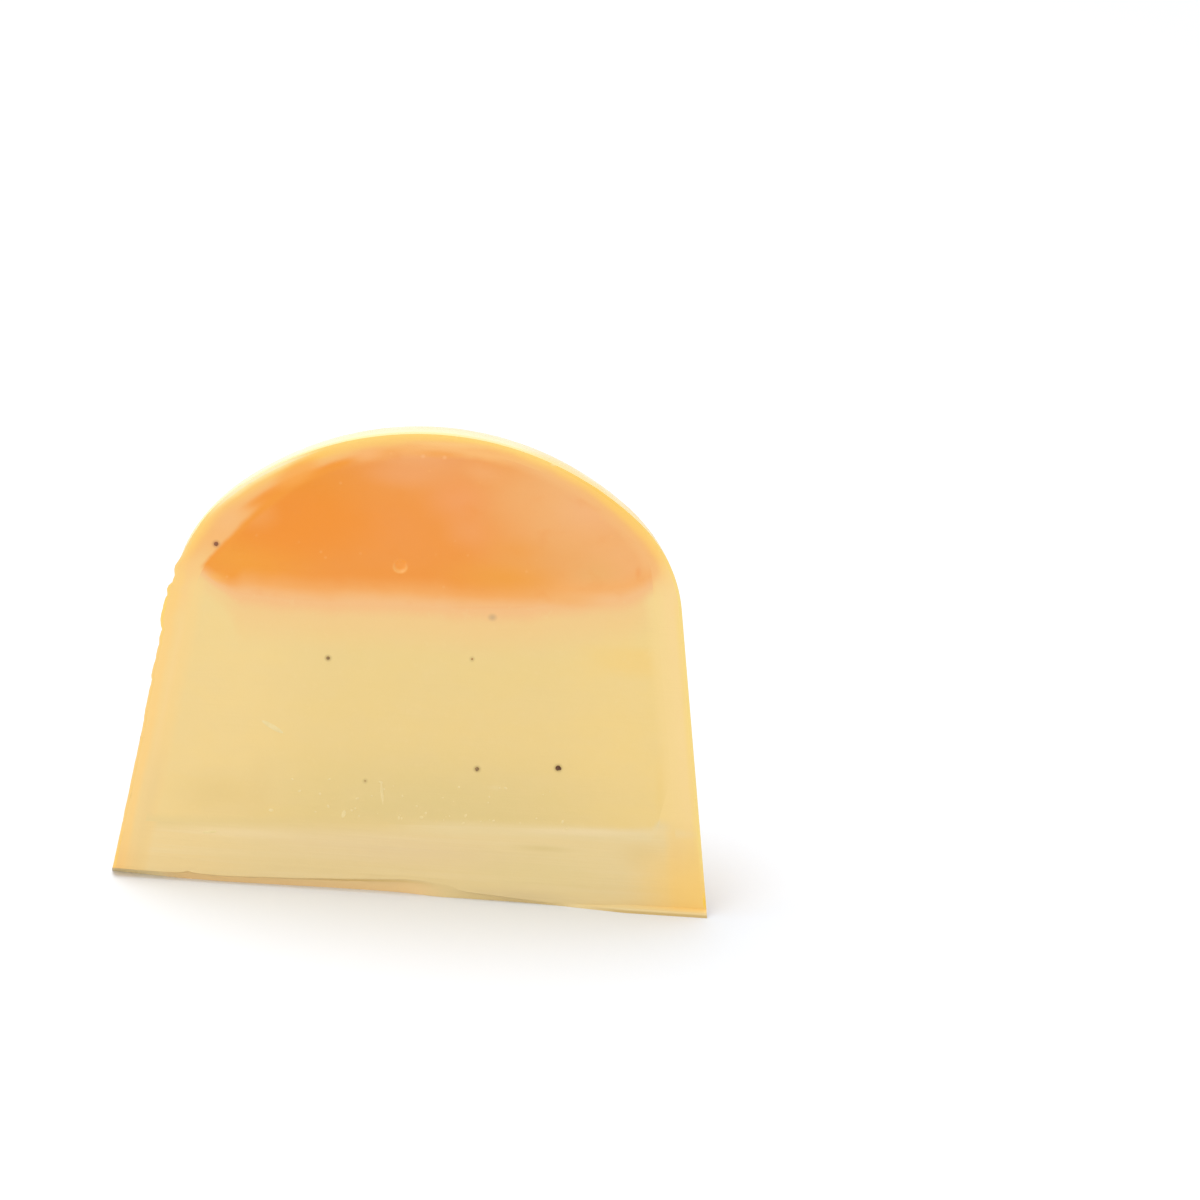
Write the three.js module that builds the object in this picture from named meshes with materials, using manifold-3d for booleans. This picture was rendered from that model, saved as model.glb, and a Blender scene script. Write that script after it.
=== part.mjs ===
// One half of a domed, moulded chocolate bonbon that was cut upright with a knife.
//
// From the outside in, it is made of a thin painted coat of coloured cocoa butter, a cast chocolate
// shell, a lens of orange fruit gel under the crown, a body of pale vanilla ganache, and the cap of
// chocolate that closes the shell at the foot. Every layer runs through the half, and all of them
// end in the one flat cut face.
//
// Units are millimetres and +Z is up. The cut face looks along -Y. The origin is on the flat
// underside, in the middle of the half's width and depth.

import * as THREE from 'three';
import { mergeVertices } from 'three/addons/utils/BufferGeometryUtils.js';
import Module from 'manifold-3d';

const wasm = await Module();
wasm.setup();

// ---------------------------------------------------------------------------------------------
// Driving dimensions
// ---------------------------------------------------------------------------------------------

const DRAFT = THREE.MathUtils.degToRad(8.4); // taper of the wall, which let it slip out of its mould

// The mould: a tapered wall, a tight shoulder arc, and a wide crown arc that meet without a corner.
const MOULD = { footRadius: 14.5, height: 23.5, wallHeight: 15.5, shoulderRadius: 7.0 };

// The hollow inside the cast shell: its shoulder is rounder than the mould's, where chocolate pooled.
const CAVITY = { footRadius: 13.35, height: 22.8, wallHeight: 14.5, shoulderRadius: 8.0 };

const COAT = 0.22; // thickness of the painted coat
const FOOT_RIM = 0.4; // height of the bare rim of shell below the coat
const SEAM = 0.05; // clearance between neighbouring layers

const CUT_OFFSET = 1.2; // the knife passed this far behind the axis, so the half is slightly thin
const BREAK = { height: 0.45, depth: 0.25 }; // the last sliver at the foot broke ahead of the blade

// The shell ran to one side as it set, so its hollow leans towards +X under the crown.
const LEAN = { low: -0.06, high: 0.58, fromZ: 15.5, toZ: 18.3 };

// The gel's underside is a shallow bowl that curls up where it meets the wall.
const GEL_FLOOR = { lowest: 14.75, lowestX: -4, bow: 0.0055 };
const GEL_CURL = { rise: 0.95, fromRadius: 9.2, toRadius: 11.6 };

// The cap set slightly out of level, and crept up the wall on the +X side.
const CAP_TOP = { height: 3.62, slope: 0.046, ripple: 0.08 };
const CAP_CREEP = { rise: 4, fromRadius: 11.6, toRadius: 12.6 };

// Facets
const TURN_STEPS = 64; // segments in a full turn about the axis
const ARC_STEPS = 4; // half the number of segments in each arc of the outline
// Radii of the rings in the surface between two layers, closer together where it curls.
const LEVEL_RINGS = [2.5, 5, 7, 8.5, 9.5, 10.6, 11.6, 12.6, 15.5];

// ---------------------------------------------------------------------------------------------
// Outlines
// ---------------------------------------------------------------------------------------------

// The same form, moved inwards by a distance: the wall shifts, and both arcs lose radius.
function inset(form, distance) {
  return {
    footRadius: form.footRadius - distance / Math.cos(DRAFT),
    height: form.height - distance,
    wallHeight: form.wallHeight - distance * Math.sin(DRAFT),
    shoulderRadius: form.shoulderRadius - distance,
  };
}

const wallRadius = (form, z) => form.footRadius - z * Math.tan(DRAFT);

// Half of a dome's cross-section as a path in (radius, height), from the wall at fromZ to the crown.
function domePath(form, fromZ) {
  const { height, wallHeight, shoulderRadius } = form;
  const shoulder = new THREE.Vector2(
    wallRadius(form, wallHeight) - shoulderRadius * Math.cos(DRAFT),
    wallHeight - shoulderRadius * Math.sin(DRAFT),
  );
  // The crown arc is centred on the axis and touches the shoulder arc, which settles its radius.
  const drop = shoulder.y - height;
  const crownRadius =
    (shoulderRadius ** 2 - shoulder.x ** 2 - drop ** 2) / (2 * (drop + shoulderRadius));
  const crown = new THREE.Vector2(0, height - crownRadius);
  const joint = shoulder.clone().sub(crown).angle();

  const path = new THREE.Path();
  path.moveTo(wallRadius(form, fromZ), fromZ);
  path.lineTo(wallRadius(form, wallHeight), wallHeight);
  path.absarc(shoulder.x, shoulder.y, shoulderRadius, DRAFT, joint, false);
  path.absarc(crown.x, crown.y, crownRadius, joint, Math.PI / 2, false);
  return path;
}

// The path's points, with the last one exactly on the axis.
function domePoints(form, fromZ) {
  const points = domePath(form, fromZ).getPoints(ARC_STEPS);
  points[points.length - 1].x = 0;
  return points;
}

// ---------------------------------------------------------------------------------------------
// Solids
// ---------------------------------------------------------------------------------------------

// A closed three.js geometry as a solid. Triangles that collapsed to a line at the axis are dropped.
function solidFrom(geometry) {
  const bare = new THREE.BufferGeometry();
  bare.setAttribute('position', geometry.getAttribute('position'));
  bare.setIndex(geometry.getIndex());
  const merged = mergeVertices(bare, 1e-4);
  const corners = merged.getIndex().array;
  const kept = [];
  for (let i = 0; i < corners.length; i += 3) {
    const [a, b, c] = corners.slice(i, i + 3);
    if (a !== b && b !== c && c !== a) kept.push(a, b, c);
  }
  return new wasm.Manifold(
    new wasm.Mesh({
      numProp: 3,
      vertProperties: merged.getAttribute('position').array,
      triVerts: new Uint32Array(kept),
    }),
  );
}

function geometryFrom(solid) {
  const mesh = solid.getMesh();
  const geometry = new THREE.BufferGeometry();
  geometry.setAttribute('position', new THREE.BufferAttribute(mesh.vertProperties, 3));
  geometry.setIndex(new THREE.BufferAttribute(mesh.triVerts, 1));
  geometry.computeVertexNormals();
  return geometry;
}

// The points, listed upwards from the foot, turned about the upright axis.
function turned(points) {
  return new THREE.LatheGeometry(points, TURN_STEPS).rotateX(Math.PI / 2);
}

// Moves each vertex by a rule that is given its place.
function reshape(geometry, rule) {
  const place = geometry.getAttribute('position');
  const vertex = new THREE.Vector3();
  for (let i = 0; i < place.count; i++) {
    vertex.fromBufferAttribute(place, i);
    rule(vertex);
    place.setXYZ(i, vertex.x, vertex.y, vertex.z);
  }
  return geometry;
}

function leanOver(vertex) {
  const share = THREE.MathUtils.smoothstep(vertex.z, LEAN.fromZ, LEAN.toZ);
  vertex.x += THREE.MathUtils.lerp(LEAN.low, LEAN.high, share);
}

// All that fits inside a form, from a floor up.
function plug(form, floor) {
  const points = [new THREE.Vector2(0, floor), ...domePoints(form, floor)];
  return solidFrom(reshape(turned(points), leanOver));
}

// Everything below a surface, whose height is a rule of (x, y).
function below(surface) {
  const depth = 40;
  const rings = [0, ...LEVEL_RINGS].reverse().map((radius) => new THREE.Vector2(radius, 0));
  const points = [new THREE.Vector2(0, -depth), new THREE.Vector2(rings[0].x, -depth), ...rings];
  const block = reshape(turned(points), (vertex) => {
    if (vertex.z > -depth / 2) vertex.z = surface(vertex.x, vertex.y);
  });
  return solidFrom(block);
}

// A share from 0 to 1 that grows towards the wall.
const nearWall = (rule, x, y) =>
  THREE.MathUtils.smoothstep(Math.hypot(x, y), rule.fromRadius, rule.toRadius);

function gelFloor(x, y) {
  const bowl = GEL_FLOOR.lowest + GEL_FLOOR.bow * ((x - GEL_FLOOR.lowestX) ** 2 + y ** 2);
  return bowl + GEL_CURL.rise * nearWall(GEL_CURL, x, y);
}

function capTop(x, y) {
  const ripple = CAP_TOP.ripple * Math.sin(0.5 * y + 0.4) * Math.cos(0.25 * x);
  const towardsX = Math.max(0, x) / Math.max(1, Math.hypot(x, y));
  const creep = CAP_CREEP.rise * towardsX * nearWall(CAP_CREEP, x, y);
  return CAP_TOP.height + CAP_TOP.slope * x + ripple + creep;
}

// What the knife left: all that lies behind the cut, less the sliver that broke off at the foot.
function behindTheKnife(solid) {
  const reach = 2 * MOULD.footRadius;
  const side = new THREE.Shape([
    new THREE.Vector2(CUT_OFFSET + BREAK.depth, -1),
    new THREE.Vector2(CUT_OFFSET + reach, -1),
    new THREE.Vector2(CUT_OFFSET + reach, reach),
    new THREE.Vector2(CUT_OFFSET, reach),
    new THREE.Vector2(CUT_OFFSET, BREAK.height),
    new THREE.Vector2(CUT_OFFSET + BREAK.depth, 0),
  ]);
  const kept = new THREE.ExtrudeGeometry(side, { depth: 2 * reach, bevelEnabled: false });
  kept.translate(0, 0, -reach);
  kept.rotateX(Math.PI / 2).rotateZ(Math.PI / 2); // the side view stands up, extruded along X
  return solid.intersect(solidFrom(kept));
}

// ---------------------------------------------------------------------------------------------
// Layers, each as a whole dome before the knife
// ---------------------------------------------------------------------------------------------

function coatLayer() {
  const outside = domePoints(MOULD, FOOT_RIM);
  const inside = domePoints(inset(MOULD, COAT), FOOT_RIM);
  return solidFrom(turned([...inside.reverse(), ...outside]));
}

function shellLayer() {
  const rimTop = FOOT_RIM - SEAM;
  const outside = [
    new THREE.Vector2(0, 0),
    new THREE.Vector2(wallRadius(MOULD, 0), 0),
    new THREE.Vector2(wallRadius(MOULD, rimTop), rimTop),
    ...domePoints(inset(MOULD, COAT + SEAM), rimTop),
  ];
  const belowFloor = -1;
  return solidFrom(turned(outside)).subtract(plug(CAVITY, belowFloor));
}

const filling = () => plug(inset(CAVITY, SEAM), 0);

const gelLayer = () => filling().subtract(below((x, y) => gelFloor(x, y) + SEAM));

const ganacheLayer = () => filling().intersect(below(gelFloor)).subtract(below(capTop));

const capLayer = () => filling().intersect(below((x, y) => capTop(x, y) - SEAM));

// ---------------------------------------------------------------------------------------------
// The half bonbon
// ---------------------------------------------------------------------------------------------

const finish = (color, roughness) =>
  new THREE.MeshStandardMaterial({ color, roughness, metalness: 0 });

const LAYERS = [
  { name: 'coat', solid: coatLayer, material: finish('#f0b02e', 0.3) },
  { name: 'shell', solid: shellLayer, material: finish('#f6cf8f', 0.5) },
  { name: 'fruit_gel', solid: gelLayer, material: finish('#f2964a', 0.3) },
  { name: 'ganache', solid: ganacheLayer, material: finish('#ebd08a', 0.55) },
  { name: 'base_cap', solid: capLayer, material: finish('#e6cb96', 0.5) },
];

const bonbon = new THREE.Group();
bonbon.name = 'half_bonbon';
bonbon.position.y = -(CUT_OFFSET + MOULD.footRadius) / 2; // the origin is mid-depth

for (const { name, solid, material } of LAYERS) {
  const mesh = new THREE.Mesh(geometryFrom(behindTheKnife(solid())), material);
  mesh.name = name;
  bonbon.add(mesh);
}

export default bonbon;
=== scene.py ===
# %% [markdown]
# # Half of a moulded, filled chocolate
#
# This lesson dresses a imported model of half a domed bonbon. The half was cut upright with a knife,
# so its flat face shows every layer: a painted coat, a cast shell, a lens of orange fruit gel, a
# body of pale vanilla ganache, and the cap that closes the foot.
#
# The scene is in metres. The cut face looks along -Y, and the flat underside is at Z = 0.

# %% Load the frame
import math
import random

import bmesh
import bpy
import numpy as np
from mathutils import Matrix, Vector, noise


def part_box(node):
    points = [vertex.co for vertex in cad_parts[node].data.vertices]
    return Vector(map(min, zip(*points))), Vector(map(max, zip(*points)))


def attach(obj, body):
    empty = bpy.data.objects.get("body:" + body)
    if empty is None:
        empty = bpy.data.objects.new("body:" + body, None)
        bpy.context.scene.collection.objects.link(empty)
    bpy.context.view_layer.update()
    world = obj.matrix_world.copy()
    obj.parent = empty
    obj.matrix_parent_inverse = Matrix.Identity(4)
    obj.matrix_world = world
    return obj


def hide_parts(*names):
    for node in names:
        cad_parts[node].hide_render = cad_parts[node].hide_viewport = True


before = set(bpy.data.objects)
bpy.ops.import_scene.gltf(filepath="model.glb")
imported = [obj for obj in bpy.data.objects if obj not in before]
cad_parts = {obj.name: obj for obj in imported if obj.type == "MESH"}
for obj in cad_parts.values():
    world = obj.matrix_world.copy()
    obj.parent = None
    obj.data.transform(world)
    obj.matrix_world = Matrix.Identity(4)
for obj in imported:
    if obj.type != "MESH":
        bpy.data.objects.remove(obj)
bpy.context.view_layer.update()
print("nodes:", sorted(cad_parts))

# %% [markdown]
# ## Sizes
#
# All lengths below are in millimetres, and `MM` turns them into metres. The mould is a tapered
# wall, a tight shoulder arc and a wide crown arc that meet without a corner. The hollow inside the
# shell has the same form with other sizes, and it leans to one side under the crown.

# %% Driving dimensions
MM = 0.001
DRAFT = math.radians(8.4)  # taper of the wall
MOULD = {"foot": 14.5, "height": 23.5, "wall": 15.5, "shoulder": 7.0}
CAVITY = {"foot": 13.35, "height": 22.8, "wall": 14.5, "shoulder": 8.0}
COAT = 0.14  # thickness of the painted coat
FOOT_RIM = 0.4  # bare rim of shell below the coat
CUT_OFFSET = 1.2  # the knife passed this far behind the axis
LEAN = {"low": -0.06, "high": 0.58, "from_z": 15.5, "to_z": 18.3}
GEL_FLOOR = {"lowest": 14.75, "lowest_x": -4.0, "bow": 0.0055}
GEL_CURL = {"rise": 0.95, "from_r": 9.2, "to_r": 11.6}
CAP_TOP = {"height": 3.62, "slope": 0.046, "ripple": 0.08}
CAP_CREEP = {"rise": 4.0, "from_r": 11.6, "to_r": 12.6}

cut_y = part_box("ganache")[0].y / MM
axis_y = cut_y - CUT_OFFSET
print("the cut face is at y =", round(cut_y, 3), "mm and the mould's axis at", round(axis_y, 3))

# %% [markdown]
# ## Outlines and layer surfaces
#
# Small functions give the outline of a dome, and the height of the two surfaces between the
# fillings at any place. The meshes and the colours both use them, so they always agree.


# %% Outline functions
def smooth_share(value, low, high):
    """0 below low, 1 above high, and a smooth rise between them. It takes numbers or arrays."""
    share = np.clip((value - low) / (high - low), 0, 1)
    return share * share * (3 - 2 * share)


def inset(form, distance):
    """The same form, moved inwards: the wall shifts and the arcs lose radius."""
    return {
        "foot": form["foot"] - distance / math.cos(DRAFT),
        "height": form["height"] - distance,
        "wall": form["wall"] - distance * math.sin(DRAFT),
        "shoulder": form["shoulder"] - distance,
    }


def arc(centre, radius, start, end, step=0.35):
    """Points along an arc, about one step apart, without its first point."""
    count = max(3, round(radius * abs(end - start) / step))
    angles = np.linspace(start, end, count + 1)[1:]
    return [(centre[0] + radius * math.cos(a), centre[1] + radius * math.sin(a)) for a in angles]


def dome(form, foot_z=0.0, step=0.5):
    """Points (radius, height) from the foot up the wall, round the shoulder and to the crown."""
    height, wall, shoulder = form["height"], form["wall"], form["shoulder"]
    wall_steps = round((wall - foot_z) / step)
    points = [
        (form["foot"] - z * math.tan(DRAFT), z) for z in np.linspace(foot_z, wall, wall_steps + 1)
    ]
    cx = points[-1][0] - shoulder * math.cos(DRAFT)
    cz = wall - shoulder * math.sin(DRAFT)
    drop = cz - height
    crown = (shoulder**2 - cx**2 - drop**2) / (2 * (drop + shoulder))
    joint = math.atan2(cz - (height - crown), cx)
    points += arc((cx, cz), shoulder, DRAFT, joint)
    points += arc((0, height - crown), crown, joint, math.pi / 2)
    return points


def lean(z):
    """How far the hollow is shifted towards +X at a height."""
    share = smooth_share(z, LEAN["from_z"], LEAN["to_z"])
    return LEAN["low"] + (LEAN["high"] - LEAN["low"]) * share


def gel_floor(x, y):
    """Height of the gel's underside, with x and y counted from the mould's axis."""
    bowl = GEL_FLOOR["lowest"] + GEL_FLOOR["bow"] * ((x - GEL_FLOOR["lowest_x"]) ** 2 + y**2)
    return bowl + GEL_CURL["rise"] * smooth_share(
        np.hypot(x, y), GEL_CURL["from_r"], GEL_CURL["to_r"]
    )


def cap_top(x, y):
    """Height of the cap's upper side, with x and y counted from the mould's axis."""
    radius = np.hypot(x, y)
    ripple = CAP_TOP["ripple"] * np.sin(0.5 * y + 0.4) * np.cos(0.25 * x)
    towards_x = np.maximum(0, x) / np.maximum(1, radius)
    creep = smooth_share(radius, CAP_CREEP["from_r"], CAP_CREEP["to_r"])
    return (
        CAP_TOP["height"] + CAP_TOP["slope"] * x + ripple + CAP_CREEP["rise"] * towards_x * creep
    )


print("points in the mould's outline:", len(dome(MOULD)))

# %% [markdown]
# ## Camera, floor and light
#
# The camera looks down at the cut face from a little above, through a long lens, with the picture
# turned slightly. The floor is plain and nearly white. Soft light comes evenly from all around,
# with one large lamp above, which makes the crown's rim glow, and a weaker one in front.

# %% Camera
IMAGE_SIZE = 1200  # pixels on each side of the picture
FOCAL_PIXELS = 8198.6
SENSOR_MM = 36.0
CAMERA_AT = Vector((5.03, -377.87, 140.64)) * MM
CAMERA_RIGHT = Vector((0.99771, 0.01367, 0.06607))
CAMERA_UP = Vector((-0.06699, 0.31871, 0.94548))


def add_camera():
    camera = bpy.data.objects.new("camera", bpy.data.cameras.new("camera"))
    bpy.context.scene.collection.objects.link(camera)
    back = CAMERA_RIGHT.cross(CAMERA_UP).normalized()
    turn = Matrix((CAMERA_RIGHT.normalized(), CAMERA_UP.normalized(), back)).transposed()
    camera.matrix_world = Matrix.Translation(CAMERA_AT) @ turn.to_4x4()
    camera.data.sensor_width = SENSOR_MM
    camera.data.lens = FOCAL_PIXELS * SENSOR_MM / IMAGE_SIZE
    camera.data.clip_start = 0.01
    bpy.context.scene.camera = camera
    return camera


camera = add_camera()
print("lens:", round(camera.data.lens, 1), "mm, camera at", [round(c, 4) for c in camera.location])

# %% Floor and light
FLOOR_SIZE = 2.0
FLOOR_PAINT = (0.82, 0.85, 0.895, 1)
SKY_LIGHT = 0.78


def add_floor():
    bpy.ops.object.select_all(action="DESELECT")
    bpy.ops.mesh.primitive_plane_add(size=FLOOR_SIZE, location=(0, 0, 0))
    floor = bpy.context.object
    floor.name = "floor"
    material = bpy.data.materials.new("pale_floor")
    material.use_nodes = True
    shader = material.node_tree.nodes["Principled BSDF"]
    shader.inputs["Base Color"].default_value = FLOOR_PAINT
    shader.inputs["Roughness"].default_value = 0.7
    shader.inputs["Specular IOR Level"].default_value = 0.2
    floor.data.materials.append(material)
    return floor


def add_lamp(name, place, size, power, colour=(1, 1, 1)):
    """A square soft lamp that faces the middle of the piece."""
    lamp = bpy.data.objects.new(name, bpy.data.lights.new(name, "AREA"))
    bpy.context.scene.collection.objects.link(lamp)
    lamp.location = place
    lamp.data.size = size
    lamp.data.energy = power
    lamp.data.color = colour
    aim = Vector((0, 0, 0.012)) - lamp.location
    lamp.rotation_euler = aim.to_track_quat("-Z", "Y").to_euler()
    return lamp


def add_world(strength):
    world = bpy.data.worlds.new("studio")
    world.use_nodes = True
    background = world.node_tree.nodes["Background"]
    background.inputs["Color"].default_value = (1, 1, 1, 1)
    background.inputs["Strength"].default_value = strength
    bpy.context.scene.world = world


add_floor()
add_world(SKY_LIGHT)
lamps = [
    add_lamp("lamp_above", (-0.10, 0.07, 0.40), 0.40, 1.1),
    add_lamp("lamp_front", (-0.22, -0.40, 0.30), 0.30, 0.45),
]
bpy.context.scene.view_settings.view_transform = "Standard"
print("lamps:", [lamp.name for lamp in lamps])

# %% [markdown]
# ## Modelling tools
#
# Each piece starts as one primitive. It is merged to a single vertex, extruded along an outline,
# and spun about the mould's axis. A bisect then takes the knife's place: it removes everything in
# front of the cut and fills the section with one flat face.

# %% Modelling tools
SPIN_STEPS = 144  # steps in the half turn behind the axis
TOUCH = 1e-7  # metres: points this close are the same point


def alone(piece):
    """Makes one piece the only one that is selected."""
    bpy.ops.object.select_all(action="DESELECT")
    bpy.context.view_layer.objects.active = piece
    piece.select_set(True)


def edit(piece):
    """Starts edit mode on one piece alone, with nothing in it selected."""
    alone(piece)
    bpy.ops.object.mode_set(mode="EDIT")
    bpy.ops.mesh.select_all(action="DESELECT")


def end_edit():
    bpy.ops.object.mode_set(mode="OBJECT")


def face_outward():
    """Turns the normals of the piece that is being edited outwards."""
    bpy.ops.mesh.select_all(action="SELECT")
    bpy.ops.mesh.normals_make_consistent(inside=False)


def turned(name, outline):
    """Extrudes one vertex along an outline of (radius, height) in mm, and spins it half a turn."""
    bpy.ops.object.select_all(action="DESELECT")
    bpy.ops.mesh.primitive_plane_add(size=MM, location=(0, 0, 0))
    piece = bpy.context.object
    piece.name = piece.data.name = name
    bpy.ops.object.mode_set(mode="EDIT")
    bpy.ops.mesh.select_all(action="SELECT")
    bpy.ops.mesh.merge(type="CENTER")
    bpy.ops.mesh.select_all(action="SELECT")
    radius, height = outline[0]
    bpy.ops.transform.translate(value=(radius * MM, axis_y * MM, height * MM))
    for (r0, z0), (r1, z1) in zip(outline, outline[1:]):
        step = ((r1 - r0) * MM, 0, (z1 - z0) * MM)
        bpy.ops.mesh.extrude_vertices_move(TRANSFORM_OT_translate={"value": step})
    bpy.ops.mesh.select_all(action="SELECT")
    bpy.ops.mesh.spin(
        steps=SPIN_STEPS, angle=-math.pi, center=(0, axis_y * MM, 0), axis=(0, 0, 1)
    )
    bpy.ops.mesh.select_all(action="SELECT")
    bpy.ops.mesh.remove_doubles(threshold=TOUCH)
    face_outward()
    end_edit()
    return piece


def cut_away(piece):
    """The knife: removes what lies in front of the cut, and fills the section."""
    edit(piece)
    bpy.ops.mesh.select_all(action="SELECT")
    bpy.ops.mesh.bisect(
        plane_co=(0, cut_y * MM, 0),
        plane_no=(0, 1, 0),
        use_fill=True,
        clear_inner=True,
        threshold=TOUCH,
    )
    face_outward()
    end_edit()
    return piece


def places(piece):
    """The vertices' places in mm, with x and y counted from the mould's axis, as an array."""
    flat = np.empty(len(piece.data.vertices) * 3, np.float32)
    piece.data.vertices.foreach_get("co", flat)
    return flat.reshape(-1, 3).astype(float) / MM - (0, axis_y, 0)


def place(piece, points):
    """Puts the vertices back after a change to the array from places()."""
    moved = (points + (0, axis_y, 0)) * MM
    piece.data.vertices.foreach_set("co", moved.astype(np.float32).ravel())
    piece.data.update()


def report(piece):
    piece.data.calc_loop_triangles()
    print(piece.name, "has", len(piece.data.loop_triangles), "triangles")


# %% [markdown]
# ## The layers
#
# The coat and the shell are skins between two outlines. The three fillings are parts of one plug,
# which fills the hollow: curved blocks cut it into gel, ganache and cap, so that neighbours share
# exactly the same surface.


# %% Skins and plug
def near_outline(points, form):
    """Each point's distance to a dome's outline, and how far along the outline it is, in mm."""
    outline = np.array(dome(form))
    flat = np.stack([np.hypot(points[:, 0], points[:, 1]), points[:, 2]], axis=1)
    nearest = np.full(len(flat), np.inf)
    along = np.zeros(len(flat))
    walked = 0.0
    for start, run in zip(outline[:-1], np.diff(outline, axis=0)):
        length = np.linalg.norm(run)
        share = np.clip(((flat - start) @ run) / length**2, 0, 1)
        gap = np.linalg.norm(flat - start - share[:, None] * run, axis=1)
        closer = gap < nearest
        nearest[closer] = gap[closer]
        along[closer] = walked + share[closer] * length
        walked += length
    return nearest, along


def inside_wall(points):
    """Which points are nearer to the hollow's outline than to the mould's."""
    return near_outline(points, CAVITY)[0] < near_outline(points, inset(MOULD, COAT))[0]


def lean_over(piece, chosen=None):
    """Shifts a piece, or the chosen part of it, as the hollow leans."""
    points = places(piece)
    shift = lean(points[:, 2])
    points[:, 0] += shift if chosen is None else shift * chosen(points)
    place(piece, points)


def skin(name, outer, inner):
    """A wall between two outlines that both run from the foot to the crown."""
    return turned(name, inner[::-1] + outer)


under_coat = inset(MOULD, COAT)
coat = skin("painted_coat", dome(MOULD, FOOT_RIM), dome(under_coat, FOOT_RIM))
rim = [(MOULD["foot"], 0), (MOULD["foot"] - FOOT_RIM * math.tan(DRAFT), FOOT_RIM)]
shell = skin("cast_shell", rim + dome(under_coat, FOOT_RIM), dome(CAVITY))
lean_over(shell, inside_wall)
plug = turned("plug", [(0, 0)] + dome(CAVITY))
lean_over(plug)
for piece in (coat, shell, plug):
    cut_away(piece)
    report(piece)

# %% [markdown]
# ### Fillings
#
# A block below each layer surface starts as a grid. Its points take the surface's height, and the
# grid is then extruded downwards. Boolean modifiers divide the plug with these blocks.

# %% Fillings
BLOCK_DEPTH = 40.0
BLOCK_MARGIN = 2.0  # how far a block reaches past the foot
BLOCK_CELLS = 110  # cells along each side of a block's grid


def block_below(name, surface):
    """Everything below a surface whose height is a function of x and y."""
    width = 2 * (MOULD["foot"] + BLOCK_MARGIN)
    bpy.ops.object.select_all(action="DESELECT")
    bpy.ops.mesh.primitive_grid_add(
        x_subdivisions=BLOCK_CELLS, y_subdivisions=BLOCK_CELLS, size=width * MM, location=(0, 0, 0)
    )
    block = bpy.context.object
    block.name = name
    points = places(block) + (0, axis_y, 0)
    points[:, 2] = surface(points[:, 0], points[:, 1])
    place(block, points)
    edit(block)
    bpy.ops.mesh.select_all(action="SELECT")
    bpy.ops.mesh.extrude_region_move(
        TRANSFORM_OT_translate={"value": (0, 0, -BLOCK_DEPTH * MM)}
    )
    face_outward()
    end_edit()
    return block


def copy_of(piece, name):
    """A copy with a mesh of its own."""
    twin = piece.copy()
    twin.data = piece.data.copy()
    twin.name = twin.data.name = name
    bpy.context.scene.collection.objects.link(twin)
    return twin


def boolean(piece, operation, other):
    alone(piece)
    modifier = piece.modifiers.new("divide", "BOOLEAN")
    modifier.operation = operation
    modifier.object = other
    modifier.solver = "EXACT"
    bpy.ops.object.modifier_apply(modifier=modifier.name)


gel_block = block_below("below_gel", gel_floor)
cap_block = block_below("below_cap_top", cap_top)
gel = copy_of(plug, "gel_lens")
boolean(gel, "DIFFERENCE", gel_block)
ganache = copy_of(plug, "ganache_body")
boolean(ganache, "INTERSECT", gel_block)
boolean(ganache, "DIFFERENCE", cap_block)
cap = copy_of(plug, "base_plug")
boolean(cap, "INTERSECT", cap_block)
for tool in (plug, gel_block, cap_block):
    bpy.data.objects.remove(tool)
layers = [coat, shell, gel, ganache, cap]
for piece in layers[2:]:
    report(piece)

# %% [markdown]
# ### The cut face
#
# Each section is still one large face. A comb of bisects, upright and level, divides it into small
# cells, closer together at the foot, so that it can carry the marks that the knife left. The skins
# get a finer comb along their left edge, where the blade chipped them.

# %% Divide the cut face
CELL = 0.3
FOOT_CELL = 0.12
FOOT_ZONE = 1.2
CHIP_ZONE = {"low": 7.9, "high": 19.3, "margin": 1, "cell": 0.11, "reach": 1.2}
CHIP_PLANES = [0.1, 0.22, 0.38, 0.6]  # mm behind the cut


def on_cut(points):
    """Which points lie in the plane of the cut."""
    return np.abs(points[:, 1] - CUT_OFFSET) < TOUCH / MM


def slice_part(piece, chosen, planes):
    """Bisects the chosen part of a piece by planes, each a place in mm and a direction."""
    edit(piece)
    bpy.ops.mesh.select_mode(type="VERT")
    mesh = bmesh.from_edit_mesh(piece.data)
    for vertex, wanted in zip(mesh.verts, chosen):
        vertex.select = bool(wanted)
    mesh.select_flush_mode()
    bmesh.update_edit_mesh(piece.data)
    group = piece.vertex_groups.new(name="part")
    bpy.ops.object.vertex_group_assign()
    for point, normal in planes:
        bpy.ops.mesh.bisect(
            plane_co=[c * MM for c in point], plane_no=normal, threshold=TOUCH
        )
        bpy.ops.object.vertex_group_select()
    end_edit()
    piece.vertex_groups.remove(piece.vertex_groups["part"])


def upright(x):
    return (x, 0, 0), (1, 0, 0)


def level(z):
    return (0, 0, z), (0, 0, 1)


def comb(piece):
    """Divides the cut face by upright and level planes."""
    reach = MOULD["foot"]
    columns = [upright(x) for x in np.arange(-reach, reach, CELL) + CELL / 2]
    foot_levels = [level(z) for z in np.arange(FOOT_CELL, FOOT_ZONE, FOOT_CELL)]
    levels = [level(z) for z in np.arange(FOOT_ZONE, MOULD["height"], CELL)]
    slice_part(piece, on_cut(places(piece)), columns + foot_levels + levels)


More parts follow.
